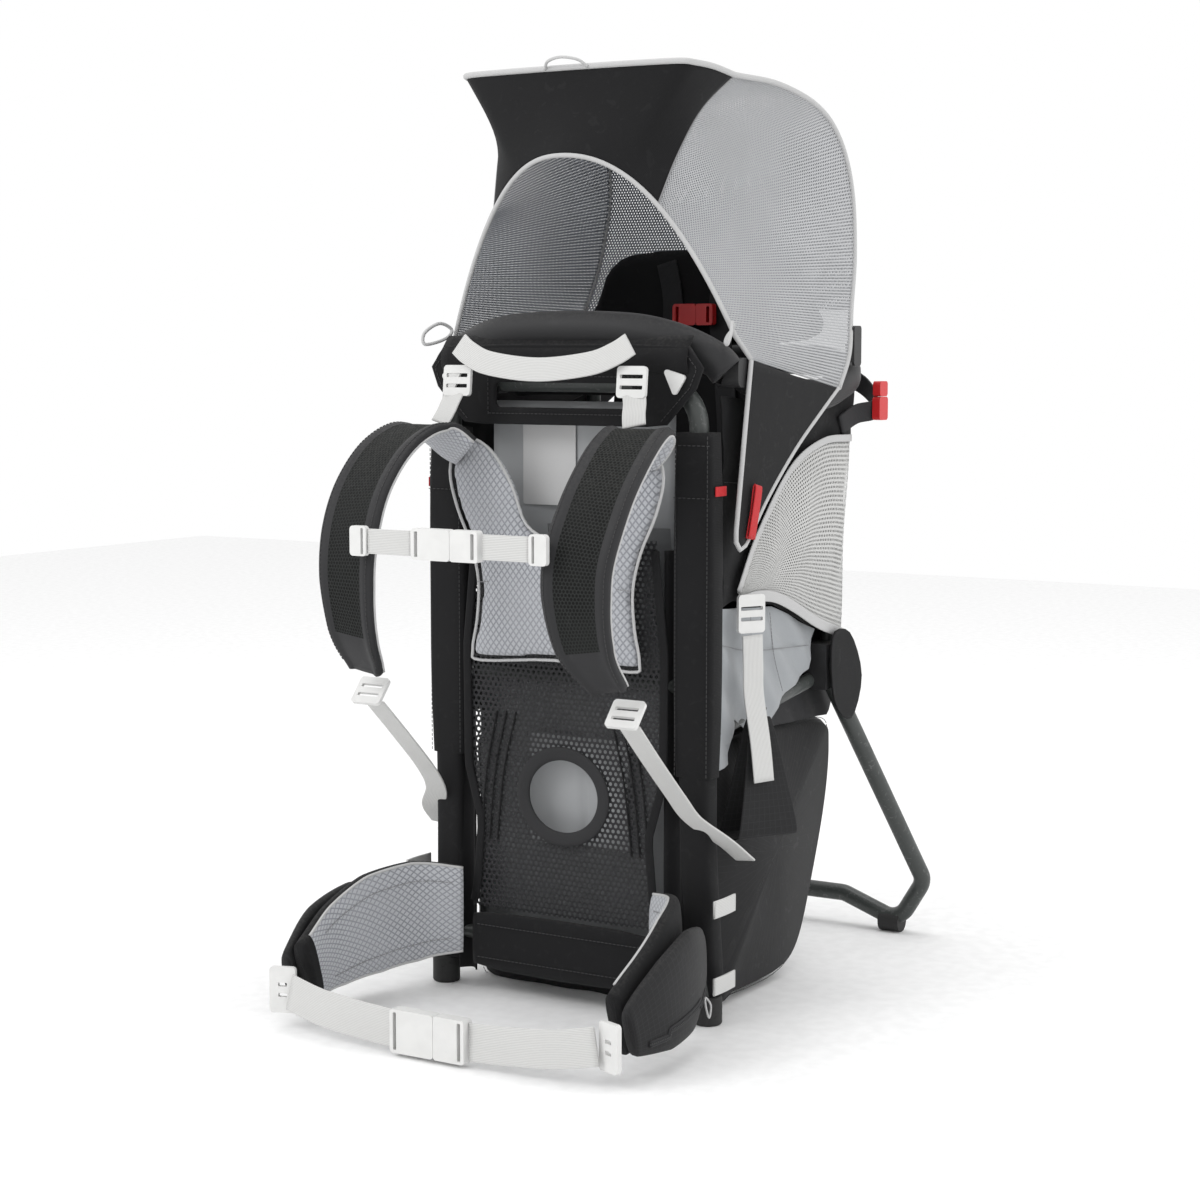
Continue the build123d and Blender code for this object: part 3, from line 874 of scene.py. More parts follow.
@dataclass(frozen=True)
class Cloth:
    """A woven or knitted finish.

    Its colour is that of the raised threads, shade a darker colour painted into the hollows between them as
    painted shade, pitch the size of one repeat, relief its depth, hole the share of the pitch that is open
    and crease the depth of its soft unevenness.
    """

    name: str
    colour: Colour
    shade: Colour
    weave: Weave = Weave.TWILL
    pitch: float = 0.0016
    relief: float = 0.0002
    roughness: float = 0.85
    sheen: float = 0.04
    hole: float = 0.0
    crease: float = 0.0008
    coords: Coords = Coords.SURFACE
    dust: float = 0.03

    def material(self) -> bpy.types.Material:
        """The finish's material, built once."""
        title = f"finish_{self.name}"
        if title in bpy.data.materials:
            return bpy.data.materials[title]
        material, g, shader = started(title)
        where = g.add("ShaderNodeTexCoord")
        place, flat = where.outputs["Object"], where.outputs["UV"]
        if self.coords is not Coords.SURFACE:
            x, y, z = g.parts(place)
            flat = g.add("ShaderNodeCombineXYZ", x if self.coords is Coords.FRONT else y, z).outputs[0]
        weave = placed(g, weave_group(self.weave), flat, Pitch=self.pitch, Hole=self.hole)
        used = placed(g, handling_group(), place, Scale=14.0, Dust=self.dust)
        # Threads take the colour and hollows the darker shade colour, mixed by the weave: painted shade in
        # the hollows.
        base = g.mix(weave.outputs["Tone"], (*self.shade, 1), (*self.colour, 1))
        # A mesh with no cut holes gives its holes the shade colour: painted shade in the holes.
        if self.weave is Weave.HOLES and not self.hole:
            base = g.mix(weave.outputs["Height"], (*self.shade, 1), (*self.colour, 1))
        darker = tuple(c * 0.86 for c in self.colour)
        base = g.mix(g.math("MULTIPLY", used.outputs["Tone"], 0.35), base, (*darker, 1))
        base = g.mix(used.outputs["Dust"], base, (0.42, 0.4, 0.37, 1))
        g.tree.links.new(base, shader.inputs["Base Color"])
        rough = g.spread(used.outputs["Scuffs"], 0.0, 1.0, self.roughness, self.roughness * 0.88)
        g.tree.links.new(rough, shader.inputs["Roughness"])
        soft = g.add("ShaderNodeTexNoise", place, None, 26.0).outputs[0]
        creased = g.math("MULTIPLY", soft, self.crease)
        tall = g.math("MULTIPLY_ADD", weave.outputs["Height"], self.relief, creased)
        bump = g.add("ShaderNodeBump")
        bump.inputs["Distance"].default_value = 1.0
        bump.inputs["Strength"].default_value = 0.7
        g.tree.links.new(tall, bump.inputs["Height"])
        g.tree.links.new(bump.outputs[0], shader.inputs["Normal"])
        shader.inputs["Sheen Weight"].default_value = self.sheen
        shader.inputs["Sheen Roughness"].default_value = 0.5
        shader.inputs["Specular IOR Level"].default_value = 0.25
        if self.hole:
            g.tree.links.new(weave.outputs["Tone"], shader.inputs["Alpha"])
        return material


@dataclass(frozen=True)
class Moulded:
    """A moulded plastic or rubber finish."""

    name: str
    colour: Colour
    roughness: float = 0.42
    grain: float = 0.00006
    dust: float = 0.05

    def material(self) -> bpy.types.Material:
        """The finish's material, built once."""
        title = f"finish_{self.name}"
        if title in bpy.data.materials:
            return bpy.data.materials[title]
        material, g, shader = started(title)
        place = g.add("ShaderNodeTexCoord").outputs["Object"]
        used = placed(g, handling_group(), place, Scale=60.0, Dust=self.dust)
        darker = tuple(c * 0.9 for c in self.colour)
        base = g.mix(g.math("MULTIPLY", used.outputs["Tone"], 0.5), (*self.colour, 1), (*darker, 1))
        base = g.mix(used.outputs["Dust"], base, (0.5, 0.48, 0.45, 1))
        g.tree.links.new(base, shader.inputs["Base Color"])
        rough = g.spread(used.outputs["Scuffs"], 0.0, 1.0, self.roughness, min(self.roughness + 0.14, 1.0))
        g.tree.links.new(rough, shader.inputs["Roughness"])
        bump = g.add("ShaderNodeBump")
        bump.inputs["Distance"].default_value = 1.0
        g.tree.links.new(g.math("MULTIPLY", used.outputs["Grain"], self.grain), bump.inputs["Height"])
        g.tree.links.new(bump.outputs[0], shader.inputs["Normal"])
        return material


@dataclass(frozen=True)
class Painted:
    """A powder-painted or bare metal finish."""

    name: str
    colour: Colour
    metal: float = 0.0
    roughness: float = 0.4
    bare: Colour = (0.3, 0.3, 0.3)

    def material(self) -> bpy.types.Material:
        """The finish's material, built once."""
        title = f"finish_{self.name}"
        if title in bpy.data.materials:
            return bpy.data.materials[title]
        material, g, shader = started(title)
        place = g.add("ShaderNodeTexCoord").outputs["Object"]
        used = placed(g, handling_group(), place, Scale=30.0, Dust=0.06)
        base = g.mix(g.math("MULTIPLY", used.outputs["Scuffs"], 0.18), (*self.colour, 1), (*self.bare, 1))
        base = g.mix(used.outputs["Dust"], base, (0.4, 0.39, 0.37, 1))
        g.tree.links.new(base, shader.inputs["Base Color"])
        rough = g.spread(used.outputs["Tone"], 0.0, 1.0, self.roughness, self.roughness + 0.12)
        g.tree.links.new(rough, shader.inputs["Roughness"])
        bump = g.add("ShaderNodeBump")
        bump.inputs["Distance"].default_value = 1.0
        g.tree.links.new(g.math("MULTIPLY", used.outputs["Grain"], 0.00008), bump.inputs["Height"])
        g.tree.links.new(bump.outputs[0], shader.inputs["Normal"])
        shader.inputs["Metallic"].default_value = self.metal
        shader.inputs["Coat Weight"].default_value = 0.15
        return material


BLACK = (0.0105, 0.0105, 0.0115)
DEEP = (0.004, 0.004, 0.0045)

FABRIC = Cloth("black_fabric", BLACK, DEEP)
FABRIC_FRONT = Cloth("black_fabric_front", BLACK, DEEP, coords=Coords.FRONT)
FABRIC_SIDE = Cloth("black_fabric_side", BLACK, DEEP, coords=Coords.SIDE)
BAG = Cloth("black_ripstop", (0.020, 0.020, 0.0215), (0.009, 0.009, 0.0095), Weave.RIPSTOP,
            0.0018, 0.00014, 0.65)
SLEEVE = Cloth("charcoal_sleeve", (0.026, 0.026, 0.0275), (0.018, 0.018, 0.019), Weave.TWILL, 0.0012,
               0.00006, 0.55, 0.1, crease=0.0004)
TRIM = Cloth("strap_binding", (0.027, 0.027, 0.029), (0.017, 0.017, 0.018), Weave.TWILL, 0.001, 0.00008, 0.6)
LATTICE = Cloth("grey_lattice", (0.47, 0.48, 0.51), (0.25, 0.26, 0.28), Weave.LATTICE, 0.0072, 0.0006,
                0.8, 0.3, crease=0.0006)
LATTICE_FRONT = Cloth("grey_lattice_front", (0.47, 0.48, 0.51), (0.25, 0.26, 0.28), Weave.LATTICE, 0.0072,
                      0.0006, 0.8, 0.3, crease=0.0006, coords=Coords.FRONT)
SATIN = Cloth("grey_satin", (0.33, 0.345, 0.36), (0.27, 0.285, 0.30), Weave.PLAIN, 0.0008, 0.00004, 0.42,
              0.2, crease=0.0012, coords=Coords.SIDE)
# Lighter copy of the grey satin for the front-facing linings: painted light.
SATIN_LIT = Cloth("grey_satin_lit", (0.42, 0.43, 0.44), (0.35, 0.36, 0.37), Weave.PLAIN, 0.0008,
                    0.00004, 0.45, 0.3, crease=0.0012, coords=Coords.FRONT)
# Darker copy of the grey satin for the lining deep in the hollow: painted shade.
SATIN_SHADED = Cloth("grey_satin_shaded", (0.20, 0.205, 0.21), (0.16, 0.165, 0.17), Weave.PLAIN, 0.0008,
                  0.00004, 0.6, 0.2, crease=0.0012, coords=Coords.FRONT)
BACK_MESH = Cloth("hexagon_back_mesh", (0.022, 0.022, 0.024), DEEP, Weave.HOLES, 0.0064, 0.0006, 0.6,
                  hole=0.30, crease=0.0, coords=Coords.FRONT)
# Strap mesh without cut holes: its holes take a near-black colour, for the dark padding beneath and painted
# shade inside them.
STRAP_MESH = Cloth("strap_mesh", (0.020, 0.022, 0.021), (0.001, 0.001, 0.001), Weave.HOLES, 0.0040,
                   0.0008, 0.8, 0.0, crease=0.0004)
SHADE_MESH = Cloth("grey_shade_mesh", (0.47, 0.475, 0.485), (0.24, 0.25, 0.27), Weave.HOLES, 0.0036, 0.0003,
                   0.8, hole=0.27, crease=0.0003)
# Darker, bluer copy of the sunshade mesh for its inner faces: painted shade.
SHADE_MESH_SHADED = Cloth("sunshade_mesh_painted_shade", (0.36, 0.38, 0.42), (0.20, 0.215, 0.25), Weave.HOLES, 0.0036,
                     0.0003, 0.8, hole=0.27, crease=0.0003)
POCKET_MESH = Cloth("grey_pocket_mesh", (0.55, 0.55, 0.54), (0.3, 0.3, 0.3), Weave.HOLES, 0.0036, 0.0003,
                    0.8, hole=0.26, crease=0.0006)
STRAP_WEB = Cloth("pale_webbing", (0.66, 0.66, 0.65), (0.46, 0.46, 0.45), Weave.RIBBED, 0.0016, 0.00025,
                  0.75, crease=0.0)
DARK_WEB = Cloth("black_webbing", (0.03, 0.03, 0.032), (0.012, 0.012, 0.013), Weave.RIBBED, 0.0016,
                 0.00025, 0.75, crease=0.0)
PIPING = Cloth("grey_piping", (0.55, 0.55, 0.55), (0.42, 0.42, 0.42), Weave.TWILL, 0.0012, 0.0001, 0.7,
               crease=0.0)
RED_WEB = Cloth("red_webbing", (0.55, 0.02, 0.025), (0.36, 0.012, 0.015), Weave.RIBBED, 0.0012, 0.0001,
                0.55, crease=0.0)
THREAD = Cloth("dark_thread", (0.06, 0.06, 0.062), (0.03, 0.03, 0.03), Weave.TWILL, 0.0006, 0.00005, 0.6,
               crease=0.0)
THREAD_PALE = Cloth("grey_thread", (0.28, 0.28, 0.29), (0.2, 0.2, 0.2), Weave.TWILL, 0.0006, 0.00005, 0.6,
                    crease=0.0)
LABEL = Cloth("blank_label", (0.62, 0.62, 0.62), (0.52, 0.52, 0.52), Weave.PLAIN, 0.0008, 0.00002, 0.5,
              crease=0.0002, coords=Coords.FRONT)
PLASTIC = Moulded("pale_plastic", (0.70, 0.70, 0.69))
PLASTIC_DARK = Moulded("black_plastic", (0.022, 0.022, 0.023), 0.45)
PLASTIC_RED = Moulded("red_plastic", (0.58, 0.018, 0.02), 0.35)
RUBBER = Moulded("black_rubber", (0.018, 0.018, 0.018), 0.7, 0.00012)
TUBE = Painted("tube_paint", (0.035, 0.04, 0.038))
STEEL = Painted("steel", (0.55, 0.55, 0.56), 1.0, 0.3)


# --- Stitching ------------------------------------------------------------------------------
@dataclass
class Stitching:
    """Rows of thread along seams, made by one tree that walks each line."""

    pitch: float = 0.0048
    length: float = 0.0032
    radius: float = 0.00045
    sides: int = 5

    def tree(self) -> bpy.types.GeometryNodeTree:
        """The tree that lays a stitch at each step of each line, built once."""
        if "stitch_rows" in bpy.data.node_groups:
            return bpy.data.node_groups["stitch_rows"]
        tree = bpy.data.node_groups.new("stitch_rows", "GeometryNodeTree")
        tree.interface.new_socket("Geometry", in_out="INPUT", socket_type="NodeSocketGeometry")
        for key, value in (("Pitch", self.pitch), ("Length", self.length), ("Radius", self.radius)):
            socket = tree.interface.new_socket(key, in_out="INPUT", socket_type="NodeSocketFloat")
            socket.default_value = value
        tree.interface.new_socket("Material", in_out="INPUT", socket_type="NodeSocketMaterial")
        tree.interface.new_socket("Geometry", in_out="OUTPUT", socket_type="NodeSocketGeometry")
        add, link = tree.nodes.new, tree.links.new
        start, end = add("NodeGroupInput"), add("NodeGroupOutput")
        line, even = add("GeometryNodeMeshToCurve"), add("GeometryNodeResampleCurve")
        even.mode = "LENGTH"
        stitch, lay = add("GeometryNodeMeshCylinder"), add("GeometryNodeInstanceOnPoints")
        stitch.inputs["Vertices"].default_value = self.sides
        tangent, turn = add("GeometryNodeInputTangent"), add("FunctionNodeAlignRotationToVector")
        turn.axis = "Z"
        solid, finish = add("GeometryNodeRealizeInstances"), add("GeometryNodeSetMaterial")
        link(start.outputs["Geometry"], line.inputs[0])
        link(line.outputs[0], even.inputs["Curve"])
        link(start.outputs["Pitch"], even.inputs["Length"])
        link(start.outputs["Radius"], stitch.inputs["Radius"])
        link(start.outputs["Length"], stitch.inputs["Depth"])
        link(even.outputs[0], lay.inputs["Points"])
        link(stitch.outputs["Mesh"], lay.inputs["Instance"])
        link(tangent.outputs[0], turn.inputs["Vector"])
        link(turn.outputs[0], lay.inputs["Rotation"])
        link(lay.outputs[0], solid.inputs[0])
        link(solid.outputs[0], finish.inputs["Geometry"])
        link(start.outputs["Material"], finish.inputs["Material"])
        link(finish.outputs[0], end.inputs[0])
        return tree

    def rows(self, name: str, lines: list[Points], finish: Cloth = THREAD,
             mirror: bool = True) -> bpy.types.Object:
        """Sews lines of stitches.

        Args:
            name: Object name.
            lines: The seams.
            finish: The thread.
            mirror: Whether the same seams are sewn on the object's other side.

        Returns:
            A plain mesh of stitches.
        """
        if mirror:
            lines = lines + [[Vector((-p.x, p.y, p.z)) for p in line] for line in lines]
        verts: list[tuple[float, float, float]] = []
        edges: list[tuple[int, int]] = []
        for line in lines:
            edges += [(len(verts) + i, len(verts) + i + 1) for i in range(len(line) - 1)]
            verts += [tuple(p) for p in line]
        mesh = bpy.data.meshes.new(name)
        mesh.from_pydata(verts, edges, [])
        obj = bpy.data.objects.new(name, mesh)
        bpy.context.scene.collection.objects.link(obj)
        tree = self.tree()
        sewing = obj.modifiers.new("sewing", "NODES")
        sewing.node_group = tree
        keys = {s.name: s.identifier for s in tree.interface.items_tree if s.in_out == "INPUT"}
        sewing[keys["Pitch"]] = self.pitch
        sewing[keys["Length"]] = self.length
        sewing[keys["Radius"]] = self.radius
        sewing[keys["Material"]] = finish.material()
        graph = bpy.context.evaluated_depsgraph_get()
        made = bpy.data.meshes.new_from_object(obj.evaluated_get(graph))
        obj.modifiers.clear()
        obj.data = made
        bpy.data.meshes.remove(mesh)
        made.name = name
        return obj


def padded_swell(obj: bpy.types.Object, voxel: float = 0.005, cap: float = 0.006,
                 pressure: float = 4.0) -> bpy.types.Object:
    """Swells a soft piece by a short cloth simulation, with its travel capped.

    Args:
        obj: Closed mesh, a little smaller than the finished pad.
        voxel: Remeshing size.
        cap: How far a point may move.
        pressure: Inside pressure.
    """
    work = obj.modifiers.new("remesh", "REMESH")
    work.mode = "VOXEL"
    work.voxel_size = voxel
    work.use_smooth_shade = True
    graph = bpy.context.evaluated_depsgraph_get()
    mesh = bpy.data.meshes.new_from_object(obj.evaluated_get(graph))
    obj.modifiers.clear()
    for m in obj.data.materials:
        if m.name not in mesh.materials:
            mesh.materials.append(m)
    obj.data = mesh
    before = np.empty(len(mesh.vertices) * 3)
    mesh.vertices.foreach_get("co", before)
    cloth = obj.modifiers.new("cloth", "CLOTH")
    cloth.settings.use_pressure = True
    cloth.settings.uniform_pressure_force = pressure
    cloth.settings.effector_weights.gravity = 0.0
    cloth.settings.quality = 4
    for step in range(1, 21):
        bpy.context.scene.frame_set(step)
    graph = bpy.context.evaluated_depsgraph_get()
    swollen = bpy.data.meshes.new_from_object(obj.evaluated_get(graph))
    after = np.empty(len(swollen.vertices) * 3)
    swollen.vertices.foreach_get("co", after)
    obj.modifiers.clear()
    bpy.data.meshes.remove(swollen)
    bpy.context.scene.frame_set(1)
    move = (after - before).reshape(-1, 3)
    size = np.linalg.norm(move, axis=1, keepdims=True)
    move *= np.minimum(1.0, cap / np.maximum(size, 1e-9))
    mesh.vertices.foreach_set("co", (before.reshape(-1, 3) + move).ravel())
    mesh.polygons.foreach_set("use_smooth", [True] * len(mesh.polygons))
    soft = obj.modifiers.new("soften", "SMOOTH")
    soft.factor = 0.6
    soft.iterations = 4
    fine = obj.modifiers.new("finer", "SUBSURF")
    fine.levels = fine.render_levels = 1
    mesh.update()
    return obj


# --- Sunshade --------------------------------------------------------------------------------
@dataclass
class Shade:
    """Tensioned sunshade: arch, side meshes, black front, roof, rear and the two side tongues."""

    half_foot: float = 0.173
    apex: tuple[float, float] = (-0.009, 0.892)
    rise: float = 0.184
    seam_x: float = 0.10
    profile: list[tuple[float, float, float]] = field(default_factory=lambda: [
        (0.140, 0.106, 0.976), (0.141, 0.205, 0.975), (0.146, 0.288, 0.958), (0.152, 0.331, 0.925),
        (0.158, 0.350, 0.872), (0.166, 0.342, 0.800), (0.174, 0.318, 0.738), (0.1875, 0.286, 0.690),
        (0.1885, 0.259, 0.652)])
    tongue: list[tuple[float, float, float]] = field(default_factory=lambda: [
        (0.1885, 0.026, 0.512), (0.1885, 0.026, 0.500), (0.1885, 0.034, 0.492), (0.1885, 0.048, 0.498),
        (0.1885, 0.094, 0.542), (0.1885, 0.156, 0.590), (0.1885, 0.220, 0.630), (0.1885, 0.257, 0.652)])
    piping: float = 0.0026

    def arch(self, x: float) -> Vector:
        """Point of the front opening's edge at a sideways distance."""
        share = abs(x) / self.half_foot
        return at(x, self.apex[0] + 0.059 * share ** 1.4, self.apex[1] - self.rise * share ** 2.3)

    def seam(self) -> Points:
        """Seam between the black front and the side mesh, from the roof to the arch."""
        return smooth([at(0.140, 0.106, 0.976), at(0.122, 0.070, 0.940), at(0.110, 0.042, 0.893),
                       self.arch(self.seam_x)], 8)

    def corner(self) -> Vector:
        """Where the arch, the side mesh and the tongue meet."""
        return at(0.1875, 0.058, 0.684)

    def side(self) -> None:
        """Mesh sides, pale outside, with a darker blue-grey copy of the mesh on the inside as painted shade.
        """
        lower = [self.arch(self.seam_x + (self.half_foot - self.seam_x) * i / 14) for i in range(1, 15)]
        lower.append(self.corner())
        front = evenly(self.seam() + lower, 34)
        rear = evenly(smooth(through(self.profile), 8), 34)
        rows = []
        for i, (a, b) in enumerate(zip(front, rear)):
            swell = 0.007 * math.sin(math.pi * i / 33)
            rows.append([a.lerp(b, t / 26) + Vector((swell * math.sin(math.pi * t / 26), 0, 0))
                         for t in range(27)])
        mesh = sheet("shade_side_mesh", rows, SHADE_MESH.material(), 0.0012, SHADE_MESH_SHADED.material(),
                     RIGHT)
        stand_in(both_sides(mesh), "grey_mesh", "shade_canopy")
        as_sheet(mesh, rows)

    def front(self) -> None:
        """Black front panel that wraps round to the side seams."""
        right = [at(0.140, 0.106, 0.976), at(0.141, 0.060, 0.979), at(0.138, 0.026, 0.980),
                 at(0.128, 0.015, 0.981)]
        middle = [at(x, 0.012 - 0.006 * math.cos(x / 0.128 * math.pi / 2), 0.981) for x in
                  (0.09, 0.045, 0.0, -0.045, -0.09)]
        left = [Vector((-p.x, p.y, p.z)) for p in reversed(right)]
        top = evenly(smooth(right + middle + left, 6), 49)
        low = [self.arch(self.seam_x * (1 - 2 * i / 48)) for i in range(49)]
        seam = evenly(self.seam(), 21)
        rows = []
        for r in range(21):
            v = r / 20
            pinch = seam[r] - top[0].lerp(low[0], v)
            row = []
            for i in range(49):
                u = i / 48
                p = top[i].lerp(low[i], v)
                edge = max(0.0, 1 - min(u, 1 - u) * 7) ** 2
                pull = Vector((pinch.x if u < 0.5 else -pinch.x, pinch.y, pinch.z)) * edge
                row.append(p + pull + Vector((0, 0.006 * math.sin(math.pi * v) * math.sin(math.pi * u), 0)))
            rows.append(row)
        panel = sheet("shade_front_panel", rows, FABRIC_FRONT.material(), 0.0014, outward=FRONT)
        dress(panel, "sunshade", "black_fabric")
        as_sheet(panel, rows)

    def roof(self) -> None:
        """Roof and rear, hung between the two side pipings."""
        line = evenly(smooth(through(self.profile[:-2]), 8), 40)
        front = [at(0.138, 0.022, 0.980).lerp(line[0], i / 6) for i in range(6)]
        rows = []
        for i, p in enumerate(front + line):
            sag = 0.006 * math.sin(math.pi * min(i / 14, 1.0))
            rows.append([Vector((p.x * (1 - 2 * k / 24), p.y, p.z - sag * math.sin(math.pi * k / 24)))
                         for k in range(25)])
        # The rear's inner face takes the darker mesh copy: painted shade.
        for name, part, finish, inside, slot in (
                ("shade_roof", rows[:14], FABRIC.material(), FABRIC.material(), "black_fabric"),
                ("shade_rear", rows[13:], SHADE_MESH.material(), SHADE_MESH_SHADED.material(), "grey_mesh")):
            piece = sheet(name, part, finish, 0.0012, inside, Vector((0, 0.5, 1)))
            dress(piece, "sunshade", slot)
            as_sheet(piece, part)

    def tongues(self) -> None:
        """Black side tongues with their rounded ends, piping and red pull tabs."""
        top = evenly([self.corner(), at(0.1885, 0.150, 0.667), at(0.1885, 0.259, 0.652)], 26)
        low = evenly(smooth(through(self.tongue), 8), 26)
        rows = []
        for r in range(19):
            v = r / 18
            rows.append([a.lerp(b, v) for a, b in zip(top, low)])
        piece = sheet("shade_tongue_panels", rows, FABRIC_SIDE.material(), 0.0016, outward=RIGHT)
        stand_in(both_sides(piece), "black_fabric", "shade_tongues")
        as_sheet(piece, rows)
        border = [row[0] for row in rows] + low[1:-1] + [row[-1] for row in reversed(rows)]
        edge = pipe("shade_tongue_piping", border, self.piping, PIPING.material(), sides=8)
        dress(both_sides(edge), "sunshade", "grey_mesh")
        route = [(0.1905, 0.050, 0.502), (0.1925, 0.056, 0.530), (0.1930, 0.060, 0.552),
                 (0.1945, 0.061, 0.556), (0.1960, 0.060, 0.552), (0.1955, 0.055, 0.530),
                 (0.1935, 0.050, 0.502)]
        tab = webbing("shade_pull_loops", route, Vector((0, 0.96, -0.2)), 0.014, RED_WEB.material(),
                      0.0014, 5)
        stand_in(both_sides(tab), "red_plastic", "shade_pull_tabs")

    def trims(self) -> None:
        """Piping along the arch, the top and the side edges, with the pull loop and cord loops."""
        foot = self.corner()
        arch = [self.arch(self.half_foot * (1 - 2 * i / 60)) for i in range(61)]
        arch = [foot, *arch, Vector((-foot.x, foot.y, foot.z))]
        side = smooth(through(self.profile), 6)
        top = [at(0.128, 0.015, 0.982), at(0.138, 0.026, 0.981), at(0.141, 0.060, 0.980)]
        front = [at(x, 0.012 - 0.006 * math.cos(x / 0.128 * math.pi / 2), 0.982)
                 for x in (0.0, 0.045, 0.09)]
        half = smooth(front + top + [side[0]], 6) + side[1:]
        whole = [Vector((-p.x, p.y, p.z)) for p in reversed(half[1:])] + half
        stand_in(pipe("shade_arch_piping", arch, self.piping, PIPING.material(), sides=8), "grey_mesh",
                 "shade_wire")
        dress(pipe("shade_top_piping", whole, self.piping * 1.25, PIPING.material(), sides=8), "sunshade",
              "grey_mesh")
        seam = pipe("shade_seam_piping", evenly(self.seam(), 20), 0.0012, THREAD_PALE.material(), sides=6)
        dress(both_sides(seam), "sunshade", "grey_mesh")
        loop = smooth([at(-0.026, 0.004, 0.981), at(-0.018, -0.004, 0.988), at(0.0, -0.008, 0.991),
                       at(0.018, -0.004, 0.988), at(0.026, 0.004, 0.981)], 6)
        dress(pipe("shade_pull_loop", loop, 0.0016, PIPING.material(), sides=8), "sunshade", "webbing")
        cord = smooth([at(0.174, 0.044, 0.716), at(0.180, 0.030, 0.722), at(0.188, 0.014, 0.712),
                       at(0.186, 0.010, 0.700), at(0.177, 0.022, 0.702), at(0.172, 0.036, 0.708)], 8, True)
        dress(both_sides(pipe("shade_cord_loops", cord, 0.0019, PIPING.material(), True, 8)), "sunshade",
              "webbing")

    def build(self) -> None:
        """Builds the whole sunshade."""
        self.side()
        self.front()
        self.roof()
        self.tongues()
        self.trims()


